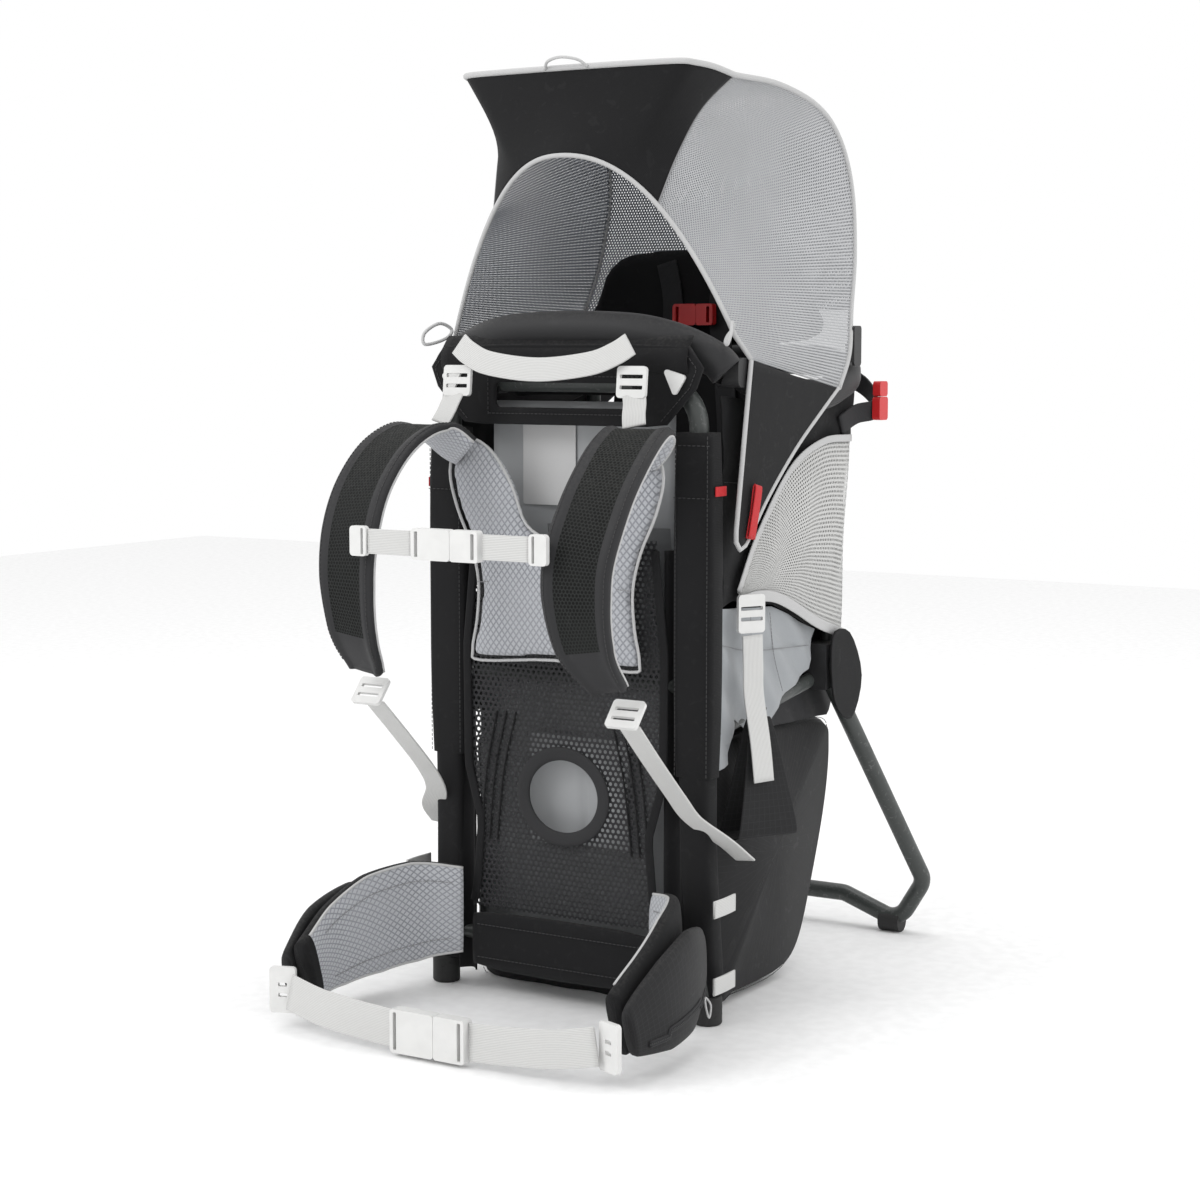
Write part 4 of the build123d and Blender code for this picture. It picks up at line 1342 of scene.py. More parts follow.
# --- Cockpit ---------------------------------------------------------------------------------
@dataclass
class Cockpit:
    """Everything round the child: padded bar and rim, walls, pockets, seat, bag and head pads."""

    bar_radius: float = 0.0185
    rim_section: tuple[float, float] = (0.034, 0.026)
    wall_x: float = 0.1675

    def rolls(self) -> None:
        """Padded sleeve over the top bar and over the rim."""
        half = [(0.171, 0.036, 0.672), (0.160, 0.033, 0.684), (0.128, 0.026, 0.700), (0.088, 0.018, 0.711),
                (0.045, 0.015, 0.715), (0.0, 0.014, 0.716)]
        line = smooth(through([(-x, y, z) for x, y, z in half] + half[-2::-1]), 7)
        bar = pipe("top_bar_sleeve", line, self.bar_radius, SLEEVE.material(), sides=24, flat=0.96)
        stand_in(bar, "charcoal_sleeve", "top_bar_pad", fill=0.9)
        half = [(0.171, 0.075, 0.667), (0.172, 0.140, 0.652), (0.171, 0.243, 0.645), (0.170, 0.305, 0.657),
                (0.160, 0.343, 0.669), (0.118, 0.364, 0.680), (0.055, 0.367, 0.683), (0.0, 0.367, 0.683)]
        line = smooth(through(half + [(-x, y, z) for x, y, z in half[-2::-1]]), 7)
        rings = pad_rings(line, UP, [self.rim_section[0]] * len(line),
                          [self.rim_section[1]] * len(line), 2.4, 20)
        stand_in(skin("rim_sleeve", rings, SLEEVE.material()), "charcoal_sleeve", "cockpit_rim_pad", fill=0.9)
        piping = [p + Vector((0.0135 if p.x > 0 else -0.0135, 0, -0.011)) for p in line]
        seam = [p for p in piping if p.y < BACK + 0.31]
        lines = [[p for p in seam if p.x > 0]]
        dress(Stitching().rows("rim_stitches", lines), "frame", "charcoal_sleeve")

    def walls(self) -> None:
        """Black side walls and rear wall, drawn in between their edges."""
        outline = [(0.034, 0.648), (0.130, 0.638), (0.243, 0.630), (0.344, 0.656), (0.338, 0.600),
                   (0.322, 0.560), (0.302, 0.380), (0.240, 0.392), (0.150, 0.424), (0.060, 0.436),
                   (0.034, 0.430)]
        wall = cut_plate("wall_panels", outline, [], 0.0024, at(self.wall_x, 0, 0), REAR,
                         UP, FABRIC_SIDE.material(), 0.0006)
        refine(wall, 0.014)

        def crease(p: Vector) -> Vector:
            """Long soft folds that run down from the rim."""
            fold = 0.0016 * math.sin((p.y - p.z * 0.5) * 95) + 0.0008 * math.sin(p.z * 140 + p.y * 60)
            return p + Vector((fold - 0.001, 0, 0))

        shape(wall, crease)
        stand_in(both_sides(wall), "black_fabric", "cockpit_walls")
        route = [(0.171, 0.300, 0.610), (0.176, 0.330, 0.622), (0.186, 0.352, 0.626),
                 (0.184, 0.366, 0.634), (0.166, 0.372, 0.652), (0.140, 0.368, 0.668)]
        corner = webbing("corner_straps", route, Vector((0, -0.3, 1)), 0.022, DARK_WEB.material(), 0.003)
        dress(both_sides(corner), "frame", "black_fabric")
        seams = [[at(self.wall_x + 0.0025, y, z) for y, z in line] for line in (
            [(0.036, 0.560), (0.100, 0.556), (0.200, 0.560), (0.310, 0.572)],
            [(0.100, 0.630), (0.094, 0.560), (0.090, 0.440)])]
        seams = [smooth(s, 8) for s in seams]
        dress(Stitching().rows("wall_stitches", seams), "frame", "black_fabric")
        rows = []
        for i in range(25):
            t = i / 24
            y, z = 0.290 + 0.047 * t, 0.298 + 0.342 * t
            rows.append([at(-0.143 + 0.286 * k / 24, y + 0.004 * math.sin(math.pi * k / 24), z)
                         for k in range(25)])
        rear = sheet("rear_wall", rows, FABRIC.material(), 0.003, outward=REAR)
        dress(rear, "frame", "black_fabric")
        as_sheet(rear, rows)

    def pockets(self) -> None:
        """Mesh side pockets with their folds and their two hems."""
        top = evenly(smooth([at(0.171, y, z) for y, z in ((0.058, 0.446), (0.100, 0.502), (0.175, 0.568),
                                                         (0.250, 0.594), (0.320, 0.596))], 8), 33)
        low = evenly(smooth([at(0.171, y, z) for y, z in ((0.062, 0.436), (0.100, 0.438), (0.140, 0.433),
                                                         (0.185, 0.418), (0.240, 0.396), (0.302, 0.378))],
                            8), 33)
        rows = []
        for r in range(21):
            v = r / 20
            row = []
            for i in range(33):
                u = i / 32
                p = top[i].lerp(low[i], v)
                belly = 0.010 * math.sin(math.pi * u) ** 0.7 * math.sin(math.pi * min(v * 1.1, 1))
                fold = 0.0022 * math.sin(u * 21 + v * 5) * math.sin(math.pi * v)
                row.append(p + Vector((belly + fold + 0.002, 0, 0)))
            rows.append(row)
        pocket = sheet("side_pockets", rows, POCKET_MESH.material(), 0.0008, outward=RIGHT)
        stand_in(both_sides(pocket), "grey_mesh", "mesh_pockets")
        as_sheet(pocket, rows)
        hem = pad_rings([p + Vector((0.003, 0, 0)) for p in rows[-1]], Vector((0, 0.3, 1)), [0.012] * 33,
                        [0.0024] * 33, 4.0, 14)
        dress(both_sides(skin("pocket_hem", hem, PIPING.material())), "frame", "grey_mesh")
        upper = pad_rings([p + Vector((0.002, 0, 0)) for p in rows[0]], Vector((0, -0.3, 1)), [0.008] * 33,
                          [0.002] * 33, 4.0, 14)
        dress(both_sides(skin("pocket_upper_hem", upper, PIPING.material())), "frame", "grey_mesh")

    def liner(self) -> None:
        """Grey satin seat liner with its darts, and the blank care label behind the slot."""
        outline = [(0.030, 0.345), (0.030, 0.262), (0.052, 0.266), (0.066, 0.312), (0.096, 0.296),
                   (0.104, 0.262), (0.128, 0.272), (0.168, 0.318), (0.236, 0.345), (0.250, 0.388),
                   (0.150, 0.422), (0.034, 0.430)]
        side = cut_plate("seat_liner_sides", outline, [], 0.0016, at(0.1655, 0, 0), REAR,
                         UP, SATIN.material(), 0.0004)
        refine(side, 0.012)
        shape(side, lambda p: p + Vector((0.002 * math.sin((p.y + p.z) * 110), 0, 0)))
        stand_in(both_sides(side), "grey_satin", "seat_liner")
        darts = [smooth([at(0.1685, y, z) for y, z in line], 6) for line in (
            [(0.096, 0.420), (0.100, 0.360), (0.104, 0.300)],
            [(0.140, 0.415), (0.150, 0.370), (0.170, 0.330)],
            [(0.036, 0.392), (0.100, 0.380), (0.230, 0.372)])]
        dress(Stitching(0.004).rows("liner_stitches", darts, THREAD_PALE), "frame", "grey_satin")
        # Front lining behind the slot, in the lighter satin copy: painted light.
        rows = [[at(-0.112 + 0.224 * k / 24, 0.0345 + 0.003 * math.sin(k * 0.9), 0.40 + 0.24 * r / 16)
                 for k in range(25)] for r in range(17)]
        front = sheet("seat_liner_front", rows, SATIN_LIT.material(), 0.0016, outward=FRONT)
        dress(front, "frame", "grey_satin")
        as_sheet(front, rows)
        label = cut_plate("care_label", rounded(0.066, 0.094, 0.003, -0.038, 0.577), [], 0.0007,
                          at(0, 0.0290, 0), RIGHT, UP, LABEL.material(), 0.0002)
        dress(label, "frame", "grey_satin")
        # Lining deep in the hollow behind the back panel, in the darker satin copy: painted shade.
        rows = [[at(-0.134 + 0.268 * k / 24, 0.036 + 0.004 * math.sin(k * 0.7 + r * 0.2),
                    0.060 + 0.45 * r / 20) for k in range(25)] for r in range(21)]
        inner = sheet("hollow_lining", rows, SATIN_SHADED.material(), 0.0016, outward=FRONT)
        dress(inner, "frame", "grey_satin")
        as_sheet(inner, rows)
        # Lining seen through the porthole, in the lighter satin copy: painted light.
        rows = [[at(-0.062 + 0.124 * k / 30, 0.0265 + 0.0035 * math.exp(-((k - 17) / 1.3) ** 2)
                    + 0.002 * math.cos(r * 0.35), 0.165 + 0.120 * r / 16)
                 for k in range(31)] for r in range(17)]
        bright = sheet("porthole_lining", rows, SATIN_LIT.material(), 0.0012, outward=FRONT)
        dress(bright, "frame", "grey_satin")
        as_sheet(bright, rows)

    def bag(self) -> None:
        """Lower storage bag: a full, slightly sagging ripstop shell, with its seams and rear pocket."""
        profile = smooth([Vector((0, y, z)) for y, z in (
            (0.050, 0.012), (0.100, 0.004), (0.200, 0.004), (0.250, 0.026), (0.288, 0.098), (0.322, 0.188),
            (0.332, 0.256), (0.316, 0.282), (0.220, 0.288), (0.060, 0.286), (0.050, 0.200))], 6, closed=True)
        middle = sum(profile, Vector()) / len(profile)
        rings = []
        for i in range(33):
            x = -0.150 + 0.300 * i / 32
            end = abs(x) / 0.150
            pull = 1 - 0.07 * end ** 14 - 0.008 * math.sin(i * 0.9) * (1 - end)
            rings.append([at(x, 0, 0) + middle + (p - middle) * pull for p in profile])
        bag = skin("storage_bag", rings, BAG.material())
        stand_in(bag, "black_fabric", "lower_bag")
        seam = [[at(0.1445, 0, 0) + middle + (p - middle) * 0.975 for p in profile + profile[:1]]]
        dress(Stitching().rows("bag_stitches", seam), "frame", "black_fabric")
        outline = [(0.070, 0.284), (0.200, 0.286), (0.318, 0.282), (0.338, 0.300), (0.336, 0.350),
                   (0.314, 0.392), (0.262, 0.392), (0.226, 0.344), (0.170, 0.316), (0.128, 0.292)]
        collar = cut_plate("bag_collar", outline, [], 0.0024, at(0.1482, 0, 0), REAR,
                           UP, BAG.material(), 0.0006)
        refine(collar, 0.012)
        shape(collar, lambda p: p + Vector((0.0014 * math.sin(p.y * 130 + p.z * 90) - 0.001, 0, 0)))
        dress(both_sides(collar), "frame", "black_fabric")
        route = [(0.0, 0.323, 0.384), (0.0, 0.334, 0.470), (0.0, 0.343, 0.555)]
        line = smooth(through(route), 8)
        rings = pad_rings(line, RIGHT, blend_values([0.170, 0.186, 0.180], len(line)),
                          blend_values([0.016, 0.020, 0.014], len(line)), 5.0, 36)
        stand_in(skin("rear_pouch", rings, BAG.material()), "black_fabric", "rear_pocket")
        zip_line = smooth([at(x, 0.3535, 0.538 + 0.006 * math.cos(x * 30)) for x in (-0.075, 0, 0.075)], 10)
        dress(Stitching(0.003, 0.0016, 0.0009).rows("rear_zip", [zip_line], THREAD_PALE, False), "frame",
              "black_fabric")

    def seat(self) -> None:
        """Back rest, head rest, drool pad and seat base as stuffed pads, with the child's straps."""
        back = [(0.0, 0.244, 0.350), (0.0, 0.268, 0.520), (0.0, 0.294, 0.686)]
        line = smooth(through(back), 8)
        rings = pad_rings(line, RIGHT, [0.180] * len(line), [0.019] * len(line), 4.0, 36)
        rest = padded_swell(skin("back_rest", rings, FABRIC_FRONT.material()), 0.006, 0.005)
        stand_in(rest, "black_fabric", "backrest_pad", fill=0.7)
        outline = [(-0.136, 0.700), (0.136, 0.700), (0.137, 0.765), (0.118, 0.797), (0.080, 0.809),
                   (0.0, 0.812), (-0.080, 0.809), (-0.118, 0.797), (-0.137, 0.765)]
        head = cut_plate("head_rest", soft_outline(outline, 5), [], 0.016, at(0, 0.295, 0), RIGHT,
                         UP, FABRIC_FRONT.material(), 0.005)
        stand_in(padded_swell(head, 0.005, 0.005), "black_fabric", "headrest_pad", fill=0.7)
        drool = cut_plate("drool_bib", rounded(0.222, 0.062, 0.020, 0, 0.673), [], 0.010, at(0, 0.053, 0),
                          RIGHT, UP, FABRIC_FRONT.material(), 0.004)
        stand_in(padded_swell(drool, 0.004, 0.003), "black_fabric", "drool_pad", fill=0.6)
        line = smooth(through([(0.0, 0.064, 0.3295), (0.0, 0.140, 0.328), (0.0, 0.214, 0.3295)]), 8)
        rings = pad_rings(line, RIGHT, blend_values([0.110, 0.140, 0.160], len(line)),
                          [0.013] * len(line), 4.0, 30)
        base = padded_swell(skin("seat_base", rings, FABRIC_FRONT.material()), 0.005, 0.003)
        stand_in(base, "black_fabric", "seat_pad", fill=0.8)
        route = [(0.040, 0.280, 0.792), (0.032, 0.278, 0.762), (0.030, 0.277, 0.730),
                 (0.036, 0.275, 0.690), (0.052, 0.259, 0.590), (0.066, 0.238, 0.450)]
        strap = webbing("child_webbing", route, RIGHT, 0.025, DARK_WEB.material())
        stand_in(both_sides(strap), "black_fabric", "child_straps")

    def build(self) -> None:
        """Builds the whole cockpit."""
        self.rolls()
        self.walls()
        self.pockets()
        self.liner()
        self.bag()
        self.seat()


# --- Back panel ------------------------------------------------------------------------------
@dataclass
class BackPanel:
    """What rests against the wearer: columns, face panel, ventilated mesh, porthole and lumbar band."""

    hole: tuple[float, float, float] = (0.046, 0.042, 0.225)
    half: list[tuple[float, float]] = field(default_factory=lambda: [
        (0.094, 0.118), (0.120, 0.112), (0.190, 0.106), (0.250, 0.123), (0.380, 0.124), (0.500, 0.112)])

    def columns(self) -> None:
        """Padded black columns with stitched edges, and the leg covers, side gores and red tabs."""
        line = evenly(through([(0.152, 0.013, 0.258), (0.152, 0.013, 0.611)]), 40)
        widths = blend_values([0.042, 0.046, 0.047, 0.047, 0.047, 0.046, 0.042], 40)
        rings = pad_rings(line, RIGHT, widths, blend_values([0.026, 0.030, 0.030, 0.030, 0.027],
                                                                        40), 5.0, 32)
        stand_in(both_sides(skin("column_pads", rings, FABRIC_FRONT.material())), "black_fabric",
                 "column_sleeves", fill=0.8)
        seams = [[at(x, -0.0022, 0.262), at(x, -0.0022, 0.606)] for x in (0.1335, 0.1705)]
        seams += [[at(0.1330, -0.0022, z), at(0.1710, -0.0022, z)] for z in (0.598, 0.545)]
        dress(Stitching().rows("column_stitches", seams), "frame", "black_fabric")
        line = evenly(smooth(through([(0.152, 0.014, 0.270), (0.153, 0.015, 0.180), (0.155, 0.018, 0.100),
                                      (0.157, 0.020, 0.030)]), 8), 30)
        rings = pad_rings(line, RIGHT, blend_values([0.036, 0.034, 0.036, 0.040], 30),
                          [0.0285] * 30, 4.0, 26)
        dress(both_sides(skin("leg_covers", rings, FABRIC_FRONT.material())), "frame", "black_fabric")
        rows = []
        for r in range(25):
            z = 0.020 + 0.470 * r / 24
            rows.append([at(0.118 + 0.022 * k / 8, 0.004 + 0.010 * math.sin(math.pi * k / 8), z)
                         for k in range(9)])
        gore = sheet("side_gores", rows, FABRIC_FRONT.material(), 0.002, outward=FRONT)
        dress(both_sides(gore), "frame", "black_fabric")
        as_sheet(gore, rows)
        route = [(0.1765, 0.004, 0.552), (0.1772, 0.010, 0.552), (0.1768, 0.026, 0.552)]
        tag = webbing("column_red_tab", route, UP, 0.010, RED_WEB.material(), 0.0012)
        dress(both_sides(tag), "frame", "red_plastic")

    def face(self) -> None:
        """Black face panel with its hand slot and stitched border."""
        right = [(0.150, 0.698), (0.166, 0.676), (0.158, 0.655), (0.124, 0.618), (0.100, 0.616)]
        outline = [(0.060, 0.700), *right, *[(-x, z) for x, z in reversed(right)], (-0.060, 0.700)]
        slot = rounded(0.168, 0.026, 0.006, 0, 0.647)
        panel = cut_plate("face_cover", outline, [slot], 0.006, at(0, -0.003, 0), RIGHT,
                          UP, FABRIC_FRONT.material(), 0.0022)
        stand_in(panel, "black_fabric", "face_panel")
        y = -0.0066
        seams = [[at(x, y, z) for x, z in ((0.092, 0.668), (0.092, 0.628))],
                 [at(x, y, z) for x, z in ((-0.09, 0.6665), (0.09, 0.6665))],
                 [at(x, y, z) for x, z in ((-0.09, 0.6275), (0.09, 0.6275))],
                 [at(x, y, z) for x, z in ((0.146, 0.692), (0.160, 0.675), (0.152, 0.656), (0.120, 0.623))]]
        dress(Stitching().rows("face_stitches", seams, mirror=True), "frame", "black_fabric")
        rows = []
        for r in range(9):
            v = r / 8
            rows.append([at(-0.150 + 0.300 * k / 30, -0.004 - 0.010 * math.sin(math.pi * v) + 0.010 * (1 - v),
                            0.668 + 0.040 * (1 - v)) for k in range(31)])
        apron = sheet("bar_apron", rows, FABRIC_FRONT.material(), 0.002, outward=FRONT)
        dress(apron, "frame", "black_fabric")
        as_sheet(apron, rows)

    def width(self, z: float) -> float:
        """Half width of the mesh at a height."""
        zs, xs = zip(*self.half)
        return float(np.interp(z, zs, xs))

    def depth(self, x: float, z: float) -> float:
        """How far the mesh stands in front of the frame."""
        low = max(0.0, math.sin(math.pi * min(max((z - 0.09) / 0.27, 0.0), 1.0)))
        return -0.0022 - 0.0018 * low * math.cos(x / 0.13 * math.pi / 2)

    def mesh(self) -> None:
        """Ventilated back mesh, open at the porthole, with its folded ribs."""
        across, up = 120, 150
        verts = []
        for r in range(up + 1):
            z = 0.094 + 0.406 * r / up
            w = self.width(z)
            for c in range(across + 1):
                x = -w + 2 * w * c / across
                verts.append(at(x, self.depth(x, z), z))
        faces = []
        for r in range(up):
            for c in range(across):
                i = r * (across + 1) + c
                centre = (verts[i] + verts[i + across + 2]) / 2
                a, b, h = self.hole
                if (centre.x / (a + 0.003)) ** 2 + ((centre.z - h) / (b + 0.003)) ** 2 > 1:
                    faces.append((i, i + 1, i + across + 2, i + across + 1))
        uvs = [(verts[i].x, verts[i].z) for f in faces for i in f]
        panel = make("ventilated_mesh", verts, faces, uvs, BACK_MESH.material(), closed=False)
        loose = bmesh.new()
        loose.from_mesh(panel.data)
        bmesh.ops.delete(loose, geom=[v for v in loose.verts if not v.link_faces], context="VERTS")
        loose.to_mesh(panel.data)
        loose.free()
        stand_in(panel, "black_mesh", "back_mesh_panel")
        a, b, h = self.hole
        ring = [at((a + 0.004) * math.cos(t), self.depth(a * math.cos(t), h) - 0.0012,
                   h + (b + 0.004) * math.sin(t)) for t in (math.tau * k / 56 for k in range(56))]
        closed = ring + [ring[0]]
        rings = pad_rings(closed, [p - at(0, 0, h) for p in closed], [0.015] * 57, [0.0045] * 57, 2.6, 16)
        rings[-1] = rings[0]
        rim = skin("porthole_binding", rings, TRIM.material(), caps=False)
        stand_in(rim, "black_fabric", "porthole_ring")
        edge = [[at(self.width(z) - 0.002, self.depth(self.width(z), z) - 0.002, z)
                 for z in np.linspace(0.10, 0.49, 30)]]
        binding = pad_rings(edge[0], RIGHT, [0.010] * 30, [0.003] * 30, 3.0, 12)
        dress(both_sides(skin("mesh_binding", binding, FABRIC.material())), "frame", "black_fabric")
        ribs = []
        for x0, x1 in ((0.060, 0.084), (0.072, 0.094), (0.084, 0.104)):
            ribs.append(smooth([at(x0, -0.0035, 0.310), at((x0 + x1) / 2 + 0.003, -0.0048, 0.245),
                                at(x1, -0.0045, 0.170)], 10))
        made = [pipe(f"rib_{i}", line, 0.0011, FABRIC.material(), sides=6) for i, line in enumerate(ribs)]
        dress(both_sides(join("mesh_ribs", made)), "frame", "black_mesh")

    def lumbar(self) -> None:
        """Padded lumbar band under the mesh."""
        line = smooth(through([(x, -0.0085 - 0.003 * math.cos(x * 12), 0.060) for x in
                               (-0.110, -0.07, 0.0, 0.07, 0.110)]), 8)
        rings = pad_rings(line, UP, blend_values([0.056, 0.064, 0.066, 0.064, 0.056], len(line)),
                          [0.011] * len(line), 3.4, 28)
        cover = skin("lumbar_cover", rings, FABRIC_FRONT.material())
        stand_in(cover, "black_fabric", "lumbar_band", fill=0.7)
        seams = [[at(x, -0.0175, 0.078) for x in (-0.10, -0.05, 0.0, 0.05, 0.10)],
                 [at(x, -0.0175, 0.042) for x in (-0.10, -0.05, 0.0, 0.05, 0.10)]]
        dress(Stitching().rows("lumbar_stitches", seams, mirror=False), "frame", "black_fabric")

    def handle(self) -> None:
        """Webbing grab handle and the load lifter webbing."""
        route = [(-0.104, -0.042, 0.700), (-0.088, -0.046, 0.690), (-0.060, -0.050, 0.680),
                 (0.0, -0.052, 0.674), (0.060, -0.050, 0.680), (0.088, -0.046, 0.690), (0.104, -0.042, 0.700)]
        strap = webbing("handle_webbing", route, Vector((0, 0.25, 1)), 0.025, STRAP_WEB.material(), 0.0025)
        stand_in(strap, "webbing", "grab_handle")
        route = [(0.109, -0.043, 0.650), (0.112, -0.047, 0.640),
                 (0.114, -0.052, 0.630), (0.118, -0.058, 0.618)]
        lifter = webbing("lifter_webbing", route, Vector((1, 0.1, 0)), 0.025, STRAP_WEB.material())
        bridge(both_sides(lifter), "frame", "harness",
               "load_lifter_webbing")

    def build(self) -> None:
        """Builds the whole back panel."""
        self.columns()
        self.face()
        self.mesh()
        self.lumbar()
        self.handle()


# --- Harness ---------------------------------------------------------------------------------
@dataclass
class Harness:
    """Yoke pad, shoulder straps and chest strap."""

    route: list[tuple[float, float, float]] = field(default_factory=lambda: [
        (0.100, -0.036, 0.588), (0.124, -0.056, 0.608), (0.134, -0.086, 0.611), (0.140, -0.130, 0.588),
        (0.140, -0.172, 0.542), (0.136, -0.196, 0.480), (0.138, -0.186, 0.412), (0.146, -0.152, 0.368)])
    widths: list[float] = field(default_factory=lambda: [
        0.060, 0.072, 0.075, 0.075, 0.075, 0.072, 0.062, 0.042])
    thick: float = 0.016

    def yoke(self) -> None:
        """Grey lattice yoke pad with two ears and a sewn channel."""
        right = [(0.034, 0.512), (0.052, 0.552), (0.074, 0.584), (0.098, 0.600),
                 (0.120, 0.596), (0.131, 0.566), (0.122, 0.528), (0.104, 0.488),
                 (0.095, 0.450), (0.097, 0.410), (0.103, 0.376), (0.092, 0.366)]
        left = [(-x, z) for x, z in reversed(right)]
        outline = soft_outline([(0.0, 0.498), *right, (0.0, 0.372), *left], 4)
        pad = cut_plate("yoke_cover", outline, [], 0.012, at(0, -0.0185, 0), RIGHT,
                        UP, LATTICE_FRONT.material(), 0.004)
        stand_in(padded_swell(pad, 0.005, 0.0035), "grey_lining", "yoke_pad", fill=0.7)
        piping = [at(x, -0.0215, z) for x, z in outline]
        dress(pipe("yoke_piping", piping, 0.0016, PIPING.material(), True, 8), "harness", "grey_lining")
        seams = [[at(x, -0.0262, 0.452 + 0.003 * math.cos(x * 25)) for x in np.linspace(-0.092, 0.092, 24)]]
        dress(Stitching(0.004, 0.003, 0.0005).rows("yoke_stitches", seams, THREAD_PALE, False), "harness",
              "grey_lining")

    def rings(self, line: Points, widths: list[float]) -> list[Points]:
        """Cross-sections with a rolled rim on each side of a lower middle.

        Args:
            line: Middle line of the strap.
            widths: Its width at each point.

        Returns:
            Rings of 40 points.
        """
        rings = pad_rings(line, Vector((1, 0.12, 0)), widths, [self.thick] * len(line), 3.2, 40)
        made = []
        for p, w, ring in zip(line, widths, rings):
            normal = (ring[10] - ring[30]).normalized()
            row = []
            for k, q in enumerate(ring):
                share = abs((q - p - normal * (q - p).dot(normal)).length / (w / 2))
                dip = 0.0035 * (1 / (1 + math.exp((share - 0.66) * 30))) if 0 < k < 20 else 0.0
                groove = 0.0012 * math.exp(-((share - 0.68) / 0.04) ** 2)
                row.append(q - normal * (dip + groove if 0 < k < 20 else -groove * 0.5))
            made.append(row)
        return made

    def straps(self) -> None:
        """Shoulder straps: charcoal rims, mesh middles whose holes are painted near-black for the dark
        padding beneath and painted shade, grey lattice inside, pale piping.
        """
        line = evenly(smooth(through(self.route), 10), 72)
        widths = blend_values(self.widths, 72)
        rings = self.rings(line, widths)

        def finish(around: float, along: float) -> int:
            """Rim, mesh middle or lattice lining."""
            if around > 0.5:
                return 2 if 0.53 < around < 0.97 else 0
            middle = abs(math.cos(around * math.tau)) ** (2 / 3.2) < 0.66
            return 1 if middle and 0.10 < along < 0.86 else 0

        strap = skin("shoulder_pads", rings, TRIM.material(),
                     extra=[STRAP_MESH.material(), LATTICE.material()], paint=finish)
        stand_in(both_sides(strap), "black_fabric", "shoulder_straps", fill=0.8)
        edges = [[ring[k] for ring in rings] for k in (39, 21)]
        made = [pipe(f"strap_piping_{i}", e, 0.0013, PIPING.material(), sides=6) for i, e in enumerate(edges)]
        dress(both_sides(join("strap_piping", made)), "harness", "grey_lining")
        seams = [[ring[k] + (ring[10] - ring[30]).normalized() * 0.0004 for ring in rings[2:-3]]
                 for k in (4, 16)]
        dress(Stitching().rows("strap_stitches", seams), "harness", "black_fabric")
        route = [(0.154, -0.128, 0.330), (0.153, -0.084, 0.290), (0.154, -0.036, 0.246),
                 (0.160, -0.010, 0.218), (0.184, 0.016, 0.192), (0.192, 0.044, 0.170)]
        tail = webbing("strap_webbing", route, RIGHT, 0.025, STRAP_WEB.material())
        bridge(both_sides(tail), "harness", "frame",
               "shoulder_webbing")

    def chest(self) -> None:
        """Webbing of the chest strap."""
        route = [(0.042, -0.214, 0.506), (0.070, -0.214, 0.506), (0.095, -0.214, 0.506)]
        plug = webbing("chest_band_plug", route, UP, 0.025, STRAP_WEB.material())
        socket = webbing("chest_band_socket", [(-x, y, z) for x, y, z in route], UP, 0.025,
                         STRAP_WEB.material())
        stand_in(socket, "webbing", "chest_webbing")
        dress(plug, "chest_strap", "webbing")
        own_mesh(plug)

    def build(self) -> None:
        """Builds the whole harness."""
        self.yoke()
        self.straps()
        self.chest()


